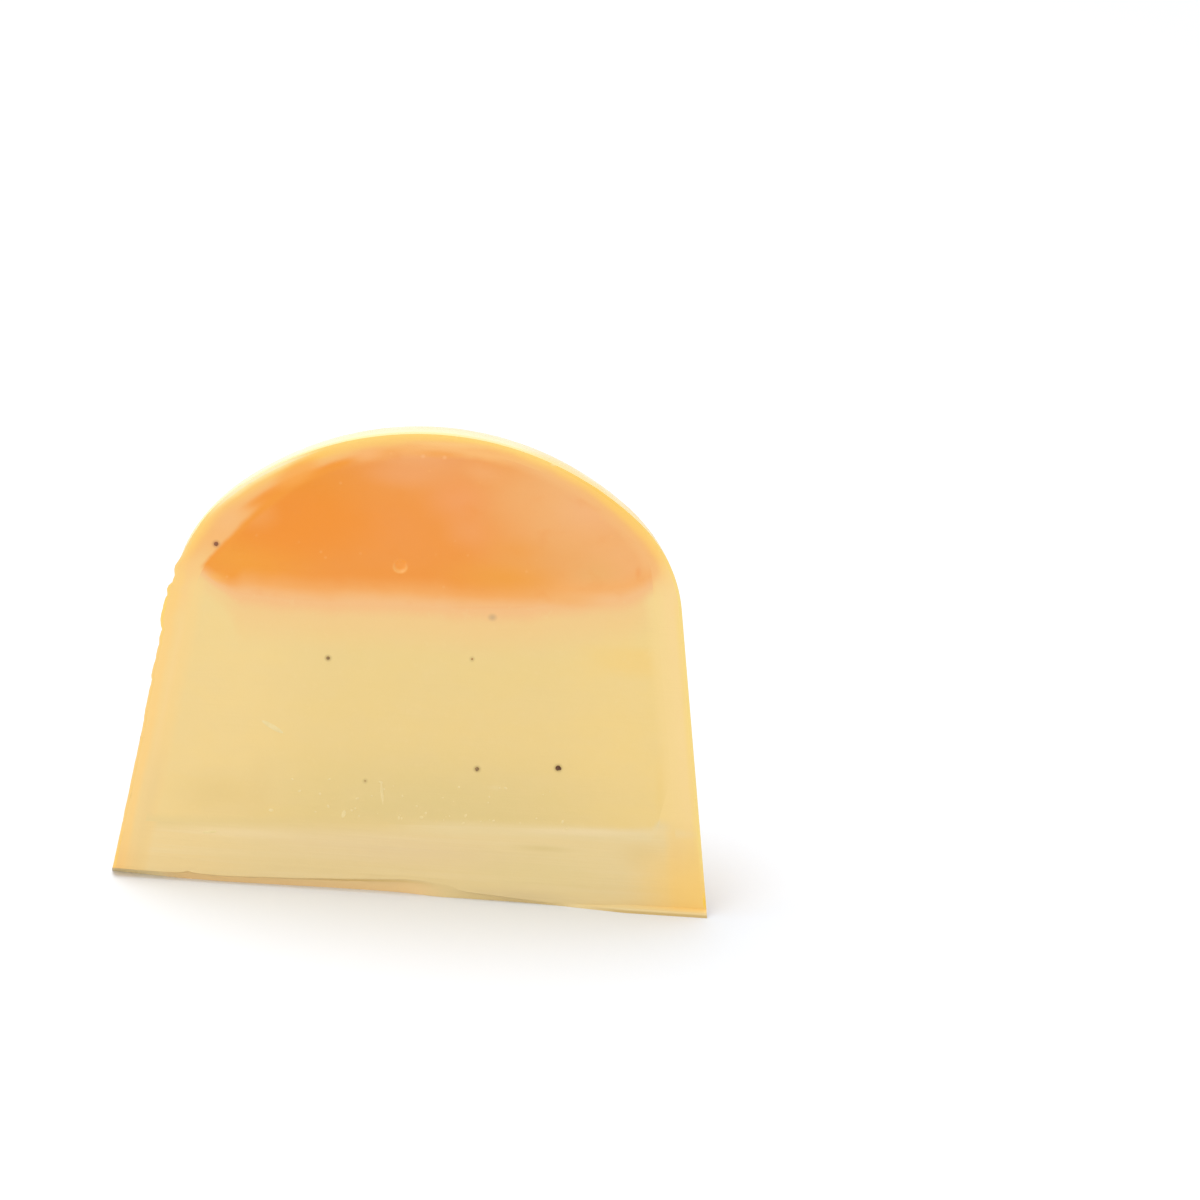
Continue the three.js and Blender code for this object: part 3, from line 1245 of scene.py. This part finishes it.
def blend_cap_top(finish):
    """The soft border between the ganache and the cap."""
    border = finish.both(
        finish.band(maths(finish.tree, "ABSOLUTE", finish.depth("above_cap_top")), 0.0, 0.55),
        finish.side(Z, 4.9, 4.5),
    )
    finish.tint((233, 206, 143), finish.both(border, finish.side(X, 2.0, -2.0)), 0.85)
    pale = finish.both(
        finish.band("above_cap_top", -0.05, 0.42, 0.15, 1.5),
        finish.band("above_cap_top", -0.3, -0.6),
        finish.side(X, -2.0, 2.5),
    )
    finish.tint((236, 212, 157), finish.both(pale, finish.side(Z, 4.9, 4.5)), 0.85)
    finish.patch(*PALE_LINE_END)
    finish.patch((242, 218, 170), (8.3, 3.9), (4.6, 0.3), 0.65, 3)


def corner_gold(finish):
    """Both lower corners, where the coat's colour was dragged in."""
    finish.patches(
        ((245, 200, 128), (-14.3, 0.6), (1.5, 2.6), 0.9),
        ((243, 206, 134), (13.0, 2.3), (3.2, 2.3), 0.5),
        ((251, 207, 119), (14.1, 0.9), (4.3, 3.6), 0.95),
        ((242, 188, 110), (-14.4, 0.3), (0.7, 0.9), 0.6),
    )


def broken_lip(finish):
    """The sliver that broke ahead of the blade: tan on the left, pale above tan on the right. Its paint
    is lighter than its own colour, to offset the shade of its recess, and a painted shadow runs along
    its top edge.
    """
    lip = finish.depth("lip")
    # painted light: the lip is painted paler than its tan, to offset the shade of its recess
    finish.tint((250, 214, 156), finish.both(lip, finish.side(X, 2.2, 0.0)))
    finish.patch((224, 199, 148), (5.5, 0.4), (4.0, 0.55), 0.7)
    # painted light: the left end of the lip, set back most, is painted very pale to offset its deeper
    # shade
    finish.tint((255, 238, 190), finish.both(lip, finish.side(X, -10.8, -12.5)), 0.9)
    top_line = finish.both(finish.band(lip, 0.5, 0.7), finish.band(lip, 0.3, 0.1))
    # painted shadow: a darker line along the lip's top edge, under the ledge
    finish.tint((222, 190, 112), finish.both(top_line, finish.spot(-2.5, 0.6, 4.5, 1.0)), 0.6)
    finish.tint((250, 208, 124), finish.both(top_line, finish.side(X, -10.5, -11.5)), 0.8)
    finish.tint((234, 212, 158), finish.both(lip, finish.side(X, 8.0, 10.5)), 0.9)
    finish.tint((210, 180, 118), finish.both(finish.side(X, 8.0, 10.5), finish.side(Z, 0.17, 0.08)))


def scraped_underside(finish):
    finish.tint((232, 200, 150), finish.both(finish.off_cut(), finish.side(Z, 0.03, 0.01)))


def seed_halos(finish, colour):
    """The blurred ring around each seed, where it shows through the layer that it lies in."""
    for x, z, radius in SEEDS:
        reach = radius + SEED_HALO
        finish.patch(colour, (x, z), (reach, reach), min(HALO_STRENGTH, HALO_PER_MM * radius))


print("the blends are ready")

# %% [markdown]
# ## Painted coat
#
# The colour was brushed and sprayed into the mould, so the outside is as smooth as the mould: deep
# golden yellow with fine pale-gold flecks. On one side white strokes, which are thin enough to let
# the gold through, run almost level around the wall below one broad stroke near the shoulder.
# Towards the cut the crown is painted pale, as a highlight where it glows in bright light, and a band
# just behind the cut carries painted glare. The cut edge is golden along the crown, strongest on the
# right, and pale on the left with painted glare.

# %% Coat finish
STROKES = {"middle": 80, "half": 46, "ragged": 26}  # degrees round from +X, where they lie
STROKE_TILT = -7  # degrees
STROKES_END = (17.5, 20.5)  # how far up the outline the fine strokes die out
HAIRS = [((9.0, 0.36, 1.0), 0.45), ((5.0, 0.13, 1.0), 0.4), ((3.0, 2.2, 1), 0.3)]  # (size, share)
BROAD_STROKE = {"up": 19.3, "slope": -0.12, "top": 0.25, "low": (-2.6, -0.4), "start": (4.0, 9.0)}


def white_strokes(finish, around, up):
    """Masks of the brushed white: a thin veil, and on it hairlines and one broad stroke."""
    tree = finish.tree
    unrolled = add(tree, "CombineXYZ", {0: around, 1: up, 2: 0.0}).outputs[0]
    tilted = rotated(tree, unrolled, math.radians(STROKE_TILT), "Z_AXIS")
    hairs = 0.0
    for size, share in HAIRS:
        hair = chance(tree, vector(tree, "DIVIDE", tilted, size), detail=3.0)
        hairs = maths(tree, "ADD", maths(tree, "MULTIPLY", hair, share), hairs)
    degree = math.radians(1) * MOULD["foot"]
    from_middle = maths(
        tree, "ABSOLUTE", maths(tree, "SUBTRACT", around, STROKES["middle"] * degree)
    )
    inner = (STROKES["half"] - STROKES["ragged"]) * degree
    outer = (STROKES["half"] + STROKES["ragged"]) * degree
    side = ramp(tree, from_middle, inner, outer, from_zero=False)
    below_shoulder = ramp(tree, up, *STROKES_END, from_zero=False)
    cover = finish.both(side, below_shoulder)
    threshold = finish.vary(cover, 0.86, 0.5)
    strokes = ramp(tree, maths(tree, "SUBTRACT", hairs, threshold), -0.03, 0.15)
    # the broad stroke, with a sharp upper edge that rises to the right
    tilt = maths(tree, "MULTIPLY", around, BROAD_STROKE["slope"])
    line = maths(tree, "SUBTRACT", maths(tree, "ADD", up, tilt), BROAD_STROKE["up"])
    upper = ramp(tree, line, 0.0, BROAD_STROKE["top"], from_zero=False)
    lower = ramp(tree, line, *BROAD_STROKE["low"])
    dry = ramp(tree, hairs, 0.42, 0.62)
    broad = finish.both(upper, lower, dry, ramp(tree, around, *BROAD_STROKE["start"]))
    veil = ramp(tree, maths(tree, "SUBTRACT", hairs, threshold), -0.2, 0.08)
    return finish.both(veil, side), maths(tree, "MAXIMUM", strokes, broad)


def gold_flecks(finish):
    cells = add(finish.tree, "TexVoronoi", {"Vector": finish.place, "Scale": 2.6})
    drawn = add(finish.tree, "SeparateColor", {0: cells.outputs["Color"]})
    few = ramp(finish.tree, drawn.outputs["Red"], 0.72, 0.76)
    small = ramp(finish.tree, cells.outputs["Distance"], 0.1, 0.2, from_zero=False)
    return finish.both(few, small)


def coat_cut_edge(finish):
    """The thin line of the coat in the cut face."""
    cut = finish.on_cut()
    upper = finish.side(Z, 16.0, 19.0)
    crown = finish.both(cut, upper)
    finish.tint((252, 209, 129), cut)
    finish.tint((249, 217, 134), finish.both(cut, finish.side(X, -1.0, 3.0)))
    finish.tint((254, 213, 112), finish.both(cut, finish.spot(-12.6, 14.0, 1.0, 2.4)), 0.8)
    finish.tint((254, 211, 116), crown)
    # painted glare: the cut edge is pale at the upper left
    finish.tint((254, 240, 190), finish.both(cut, finish.spot(-8.0, 20.2, 4.0, 3.2, 0, 0.7)), 0.95)
    finish.tint((254, 203, 98), finish.both(cut, finish.spot(8.0, 20.8, 4.5, 3.6)), 0.9)
    finish.tint((253, 207, 116), finish.both(cut, finish.side(Z, 3.0, 1.0)), 0.8)
    finish.tint((255, 208, 84), finish.both(cut, finish.spot(14.3, 0.7, 0.6, 0.6)), 0.9)
    # a pale fleck and a deeper nick, right of the top
    finish.tint((255, 240, 200), finish.both(cut, finish.spot(5.75, 22.48, 0.45, 0.2, 25)), 0.9)
    finish.tint((240, 176, 92), finish.both(cut, finish.spot(5.3, 22.7, 0.25, 0.16)), 0.8)


def coat_finish():
    finish = Finish("coat_finish", (243, 188, 66))
    around, up = finish.depth("around"), finish.depth("up")
    finish.tint((236, 172, 50), finish.clouds(5.0, 0.4, 0.7), 0.5)
    finish.tint((248, 204, 96), finish.clouds((0.5, 0.5, 0.35), 0.55, 0.75), 0.35)
    finish.tint((255, 232, 150), gold_flecks(finish), 0.8)
    veil, strokes = white_strokes(finish, around, up)
    finish.tint((248, 208, 142), veil, 0.8)
    finish.tint((251, 232, 212), strokes, 0.88)
    # painted highlight: the crown near the cut is painted pale, as if it glowed in bright light
    painted_crown_glow = finish.both(finish.side(Y, 8.5, 5.5), finish.side(Z, 19.0, 21.0))
    finish.tint((255, 242, 205), painted_crown_glow, 0.55)
    # a whitish band at the very foot
    foot = finish.band("up", 0.5, 1.1, 0.8, 2.5)
    finish.tint((246, 228, 196), finish.both(foot, finish.clouds(3.0, 0.35, 0.6)), 0.7)
    # painted glare: a pale band behind the cut, along the crown, whitish on the left and lighter yellow
    # on the right
    painted_glare = finish.both(finish.side(Y, 4.2, 1.6), finish.side(Z, 16.0, 19.0))
    finish.tint((255, 239, 192), finish.both(painted_glare, finish.side(X, 6.0, 3.5)), 0.85)
    finish.tint((254, 220, 130), finish.both(painted_glare, finish.side(X, 3.5, 6.0)), 0.7)
    # painted highlight: a lighter yellow strip just behind the cut, along the crown
    painted_cut_glare = finish.both(finish.side(Y, 1.9, 1.4), finish.side(Z, 16.0, 19.0))
    finish.tint((254, 223, 130), painted_cut_glare, 0.75)
    coat_cut_edge(finish)
    finish.raise_by(finish.clouds(2.5, 0.0, 1.0), 0.006)
    roughness = finish.vary(finish.clouds(1.5, 0.3, 0.7), 0.2, 0.3)
    return finish.done(roughness)


def dress(piece, material):
    """Gives a piece its one material."""
    piece.data.materials.clear()
    piece.data.materials.append(material)
    print(piece.name, "wears", material.name, "with", len(material.node_tree.nodes), "nodes")


dress(coat, coat_finish())

# %% [markdown]
# ## Cast shell
#
# The shell is cream-coloured chocolate. The blade dragged the coat's orange-yellow into its outer
# half, most of all on the left and at both lower corners. Around the gel it has taken on an orange
# tint, which deepens from the outside inwards. A faint pale line runs down the middle of the left
# wall.


# %% Shell finish
def shell_around_gel(finish):
    """Orange that deepens inwards, from the coat to the gel."""
    upper = finish.side(Z, 14.8, 18.0)
    finish.tint((247, 184, 112), upper)
    deep = finish.both(upper, finish.band("under_outline", 1.0, 0.6, 0.2, 1.2))
    finish.tint((246, 163, 80), finish.both(deep, finish.spot(-4.5, 21.2, 7.0, 4.0, 0, 0.5)))
    deepest = finish.both(finish.band("under_outline", 1.1, 0.75, 0.2, 1.2), finish.side(Z, 18.8, 19.8))
    finish.tint((244, 154, 60), finish.both(deepest, finish.side(X, -3.4, -5.0)))
    finish.tint((249, 190, 112), finish.both(upper, finish.band("under_outline", 0.45, 0.95)))
    pale_top = finish.spot(1.4, 22.9, 4.4, 1.4, 0, 0.6)
    pale_top = finish.both(pale_top, finish.band("under_outline", 0.62, 0.85))
    finish.tint((254, 198, 123), pale_top, 0.9)
    finish.tint((252, 199, 111), finish.both(upper, finish.band("under_outline", 0.3, 0.65)))
    finish.tint((254, 206, 114), finish.both(upper, finish.band("under_outline", 0.14, 0.4)))
    strong = finish.both(finish.band("under_outline", 0.3, 0.6), finish.spot(-6.3, 21.6, 2.6, 1.8))
    finish.tint((254, 198, 88), strong, 0.75)
    # painted glare: the outer shell next to the coat is pale at the upper left
    painted_glare = finish.both(
        finish.band("under_outline", 0.12, 0.4, 0.1, 1.0), finish.spot(-8.0, 20.2, 3.8, 3.2, 0, 0.7)
    )
    finish.tint((254, 230, 160), painted_glare, 0.9)
    gold = finish.both(finish.band("under_outline", 0.3, 0.55), finish.spot(8.2, 20.6, 4.5, 3.2))
    finish.tint((254, 202, 104), gold, 0.8)
    # the peach patch beside the gel's left end, and the pale shoulder on the right
    finish.patch((247, 188, 122), (-9.7, 18.5), (1.0, 1.5), 0.7, -35)
    finish.patch((249, 199, 129), (-11.3, 15.7), (1.0, 1.3), 0.8)
    pale = finish.both(finish.spot(11.6, 16.0, 1.5, 3.2), finish.band("under_outline", 0.9, 1.3))
    finish.tint((249, 214, 147), pale, 0.95)
    finish.patch((250, 199, 131), (-11.5, 14.5), (0.9, 1.3), 0.6)


def shell_finish():
    finish = Finish("shell_finish", (247, 211, 141))
    left = finish.side(X, 1.0, -3.0)
    right = finish.side(X, -1.0, 3.0)
    below_gel = finish.side(Z, 16.5, 14.5)
    finish.tint((249, 217, 149), right)
    finish.tint((243, 206, 131), finish.both(right, finish.side(Z, 5.5, 2.5)))
    finish.tint((240, 209, 147), finish.both(left, finish.side(Z, 9.0, 3.0)), 0.8)
    finish.tint((243, 206, 137), finish.clouds((3.0, 3.0, 5.0)), 0.25)
    shell_around_gel(finish)
    # the coat's colour, dragged inwards
    dragged = finish.band("under_outline", 0.35, 0.75, 0.3, 1.2)
    finish.tint((250, 208, 132), finish.both(dragged, left, below_gel), 0.9)
    finish.tint((252, 206, 124), finish.both(dragged, left, finish.spot(-12.3, 15, 2, 3)), 0.6)
    rim = finish.both(finish.band("under_outline", 0.16, 0.45), right, below_gel)
    finish.tint((249, 215, 130), rim, 0.7)
    # the pale line in the left wall
    off_line = maths(finish.tree, "SUBTRACT", finish.depth("under_outline"), 0.88)
    line = finish.band(maths(finish.tree, "ABSOLUTE", off_line), 0.05, 0.2, 0.1, 1.5)
    finish.tint((248, 213, 152), finish.both(line, left, finish.side(Z, 14.0, 12.5)), 0.6)
    blend_walls(finish)
    blend_gel_wall(finish)
    crown_border(finish)
    finish.patch(*PALE_LINE_END)
    corner_gold(finish)
    broken_lip(finish)
    seed_halos(finish, (176, 116, 84))
    # the bare rim at the foot, outside
    bare = finish.both(finish.off_cut(), finish.side(Z, 0.5, 0.38))
    finish.tint((230, 196, 158), bare)
    finish.tint((218, 172, 138), finish.both(bare, finish.clouds((1.2, 1.2, 0.5))), 0.6)
    scraped_underside(finish)
    finish.raise_by(finish.drag(7.0, 0.25), 0.012)
    finish.raise_by(finish.grain(0.09), 0.002)
    return finish.done(finish.vary(finish.clouds(0.8), 0.38, 0.5))


dress(shell, shell_finish())

# %% [markdown]
# ## Fruit gel
#
# The gel is saturated orange on the left and turns hazy and pink towards the right, where the blade
# smeared a veil of white chocolate over it. Its lower border is blurred over more than a
# millimetre, and thin orange streaks lie along its right-hand end.


# %% Gel finish
def gel_finish():
    finish = Finish("gel_finish", (241, 152, 66))
    finish.patches(
        ((244, 160, 58), (-9.0, 16.8), (5.0, 2.6), 0.9),
        ((241, 149, 50), (-6.2, 20.2), (3.4, 2.6), 0.9),
        ((242, 152, 71), (-1.5, 18.6), (3.5, 2.6), 0.8),
        ((243, 147, 52), (-6.6, 18.6), (5.4, 2.6), 0.9, 0, 0.7),
        ((242, 166, 103), (-0.4, 22.4), (4.5, 2.8), 0.9),
        ((246, 176, 112), (-1.6, 22.7), (2.2, 1.2), 0.7),
        ((243, 172, 106), (3.8, 20.6), (3.2, 2.2), 0.6),
    )
    haze = finish.side(X, 1.0, 6.5)
    veil = finish.both(haze, finish.vary(finish.clouds(2.5, 0.3, 0.7), 0.85, 1.0))
    finish.tint((243, 178, 112), veil)
    finish.patches(
        ((239, 168, 94), (5.9, 17.4), (3.4, 1.9), 0.8),
        ((238, 177, 106), (8.0, 16.9), (1.8, 1.3), 0.7),
        ((245, 181, 124), (7.6, 20.2), (2.6, 1.8), 0.6),
        # uneven haze in the middle, and clearer stretches beside it
        ((244, 162, 99), (1.2, 20.2), (2.3, 1.7), 0.7),
        ((245, 172, 106), (2.2, 21.7), (1.6, 0.8), 0.7, -12),
        ((243, 166, 104), (-1.6, 21.3), (2.4, 0.9), 0.5),
        ((244, 163, 97), (1.8, 18.7), (1.8, 1.3), 0.6),
        ((246, 166, 88), (-8.4, 18.9), (1.5, 1.2), 0.6),
        ((241, 160, 73), (4.1, 17.8), (2.1, 1.1), 0.65),
        # thin orange streaks
        ((241, 160, 88), (9.95, 17.15), (0.22, 0.5), 0.7, 0, 0.9),
        ((240, 166, 102), (7.4, 20.5), (1.3, 0.25), 0.7, -28, 1.0),
    )
    blend_gel_wall(finish)
    crown_border(finish)
    # the blurred lower border, and a clearer stretch of it right of the middle
    above = above_blurred_floor(finish)
    finish.tint((245, 175, 102), finish.band(above, 0.25, 1.55, 0.4, 1.6))
    finish.patch((241, 160, 64), (3.6, 16.5), (4.2, 1.3), 0.85)
    finish.tint((245, 190, 130), finish.band(above, -0.05, 0.75, 0.3, 1.6))
    finish.patch(*DEEP_BORDER)
    finish.patch((248, 180, 88), (-10.2, 15.55), (0.9, 0.45), 0.5)
    blend_walls(finish)
    seed_halos(finish, (176, 116, 84))
    # painted highlight of the bubble: a pale crescent at its lower lip, where light from above falls,
    # left below a patch painted a little lighter to offset the shade of its upper wall; and tiny
    # bubbles and pulp
    finish.patches(
        ((252, 188, 108), (-1.41, 16.66), (0.42, 0.37), 0.75, 0, 0.4),
        ((248, 160, 70), (-1.41, 16.79), (0.38, 0.36), 1.0, 0, 0.5),
        # two pale grains of pulp under the crown
        ((252, 190, 130), (-0.65, 22.32), (0.16, 0.16), 0.6),
        ((252, 190, 130), (0.38, 22.33), (0.16, 0.16), 0.6),
    )
    cells = add(finish.tree, "TexVoronoi", {"Vector": finish.place, "Scale": 1.3})
    dots = ramp(finish.tree, cells.outputs["Distance"], 0.05, 0.13, from_zero=False)
    finish.tint((250, 184, 110), finish.both(dots, finish.clouds(2.0, 0.45, 0.6)), 0.3)
    finish.tint((238, 142, 52), finish.clouds((1.2, 1.2, 0.8), 0.55, 0.8), 0.15)
    finish.raise_by(finish.clouds((1.4, 1.4, 0.8), 0.2, 0.8), 0.012)
    finish.raise_by(finish.grain(0.12), 0.0015)
    return finish.done(finish.vary(finish.clouds(0.9), 0.28, 0.42))


dress(gel, gel_finish())

# %% [markdown]
# ## Ganache
#
# The ganache is pale yellow, warmer at the top and on the left, and painted slightly darker in its
# lower middle, as shade. Just under the gel the orange has bled into it. On the right, two deeper
# yellow patches mark where the blade paused. A soft halo surrounds each vanilla seed.


# %% Ganache finish
def deeper_patches(finish):
    """Two yellow patches by the right wall, the upper one with a sharp right edge."""
    across = finish.both(finish.side(X, 6.5, 10.0), finish.side(X, 11.7, 11.4))
    block = finish.both(across, finish.side(Z, 11.6, 12.6), finish.side(Z, 13.7, 13.1))
    finish.tint((244, 207, 128), block, 0.7)
    finish.patch((241, 206, 128), (11.85, 7.0), (0.5, 3.0), 0.6, 0, 0.9)


def ganache_finish():
    finish = Finish("ganache_finish", (238, 208, 139))
    finish.tint((242, 211, 143), finish.side(X, -4.0, -9.0), 0.9)
    finish.tint((243, 211, 138), finish.side(X, 5.0, 10.0), 0.8)
    # painted shade: the first patch darkens the lower middle
    finish.patches(
        ((227, 203, 140), (1.0, 4.4), (14.0, 4.4), 0.85),
        ((230, 199, 130), (-7.5, 5.0), (1.0, 2.6), 0.3),
        ((233, 203, 136), (-9.4, 4.6), (3.6, 1.7), 0.8),
        ((236, 213, 156), (3.8, 5.87), (0.5, 0.22), 0.4),
    )
    finish.tint((234, 207, 150), finish.clouds((2.4, 2.4, 1.2)), 0.15)
    deeper_patches(finish)
    # the orange that bled down from the gel
    above = above_blurred_floor(finish)
    finish.tint((243, 202, 137), finish.band(above, -0.5, -2.8, 0.4, 2.0), 0.9)
    finish.tint((245, 190, 130), finish.band(above, 0.05, -0.85, 0.3, 1.6))
    finish.tint((245, 182, 118), finish.band(above, 0.3, 0.0))
    finish.patch(*DEEP_BORDER)
    # the seed that lies just below the surface, and the halo of each seed that shows
    finish.patch((204, 168, 124), (3.14, 14.49), (0.32, 0.27), 0.8)
    seed_halos(finish, (164, 138, 86))
    blend_walls(finish)
    blend_cap_top(finish)
    finish.tint((244, 216, 155), finish.clouds(0.35, 0.6, 0.75), 0.12)
    finish.raise_by(finish.drag(5.0, 0.3), 0.014)
    finish.raise_by(finish.grain(0.1), 0.003)
    return finish.done(finish.vary(finish.clouds(0.7), 0.45, 0.58))


dress(ganache, ganache_finish())

# %% [markdown]
# ## Base cap
#
# The cap was poured last and scraped level with the mould, so its underside is flat with fine
# scrape marks. On the cut its colour is slightly greyer than the ganache. The blade drew level
# streaks across it and left a soft pale line along its top. Where the cap crept up the right wall,
# it looks like the shell.


# %% Cap finish
def cap_finish():
    finish = Finish("cap_finish", (236, 210, 152))
    finish.patch((233, 210, 151), (6.0, 1.6), (6.0, 2.2), 0.7)
    finish.tint((241, 211, 149), finish.side(X, -6.0, -12.0), 0.8)
    finish.tint(
        (234, 206, 161), finish.both(finish.drag(12.0, 0.5), finish.spot(-1, 2.4, 9, 1.2)), 0.9
    )
    streaks = ramp(finish.tree, finish.drag(9.0, 0.35), 0.45, 0.62)
    finish.tint((240, 216, 165), streaks, 0.25)
    finish.patches(
        ((222, 197, 134), (6.3, 2.9), (2.2, 0.28), 0.6),
        ((229, 198, 132), (11.0, 2.9), (1.5, 1.0), 0.4),
        # a whitish patch at the upper left
        ((244, 219, 169), (-8.8, 2.8), (4.6, 0.6), 0.5),
    )
    # the pale line along the top, and the end that crept up the right wall
    line = finish.both(finish.band("above_cap_top", -0.1, -0.42, 0.1, 1.2), finish.side(Z, 4.9, 4.5))
    finish.tint((238, 214, 160), finish.both(line, finish.side(X, -2.0, 1.5)), 0.9)
    finish.tint((245, 213, 141), finish.side(Z, 4.3, 5.0))
    blend_cap_top(finish)
    blend_walls(finish)
    corner_gold(finish)
    broken_lip(finish)
    scraped_underside(finish)
    finish.raise_by(finish.drag(10.0, 0.3), 0.02)
    finish.raise_by(finish.grain(0.1), 0.002)
    return finish.done(finish.vary(finish.clouds(0.8), 0.4, 0.52))


dress(cap, cap_finish())

# %% [markdown]
# ## Finishes of the seeds and crumbs
#
# The seeds are brown with a warm sheen: darkest where one stands free on the right, reddish in the
# shell, and pale where the two smallest lie. The crumbs are a little paler than the ganache that
# they came from.


# %% Seed and crumb finishes
def seed_finish():
    finish = Finish("seed_finish", (150, 122, 84))
    finish.tint((96, 65, 46), finish.side(X, 4.5, 5.5))
    finish.tint((148, 92, 66), finish.side(X, -8.0, -9.0))
    finish.patch((190, 140, 80), (2.3, 12.32), (0.3, 0.3), 1.0, 0, 0.2)
    finish.patch((196, 160, 104), (-2.46, 5.76), (0.3, 0.3), 1.0, 0, 0.2)
    finish.tint((136, 106, 80), finish.clouds(0.12), 0.4)
    finish.raise_by(finish.grain(0.05), 0.01)
    return finish.done(finish.vary(finish.clouds(0.1), 0.25, 0.4))


def crumb_finish():
    finish = Finish("crumb_finish", (236, 213, 153))
    finish.tint((242, 219, 163), finish.clouds(0.25), 0.6)
    finish.raise_by(finish.grain(0.06), 0.003)
    return finish.done(finish.vary(finish.clouds(0.3), 0.45, 0.6))


dress(specks, seed_finish())
dress(crumbs, crumb_finish())

# %% [markdown]
# ## Fit the pieces to the frame
#
# The half has one body. Each layer stands for the node of the imported model whose form it keeps, and
# that node is hidden.

# %% Ride and replace
for piece, node in zip(layers, ("coat", "shell", "fruit_gel", "ganache", "base_cap")):
    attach(piece, "root")
    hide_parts(node)
for piece in (specks, crumbs):
    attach(piece, "root")
print("pieces:", [piece.name for piece in [*layers, specks, crumbs]])
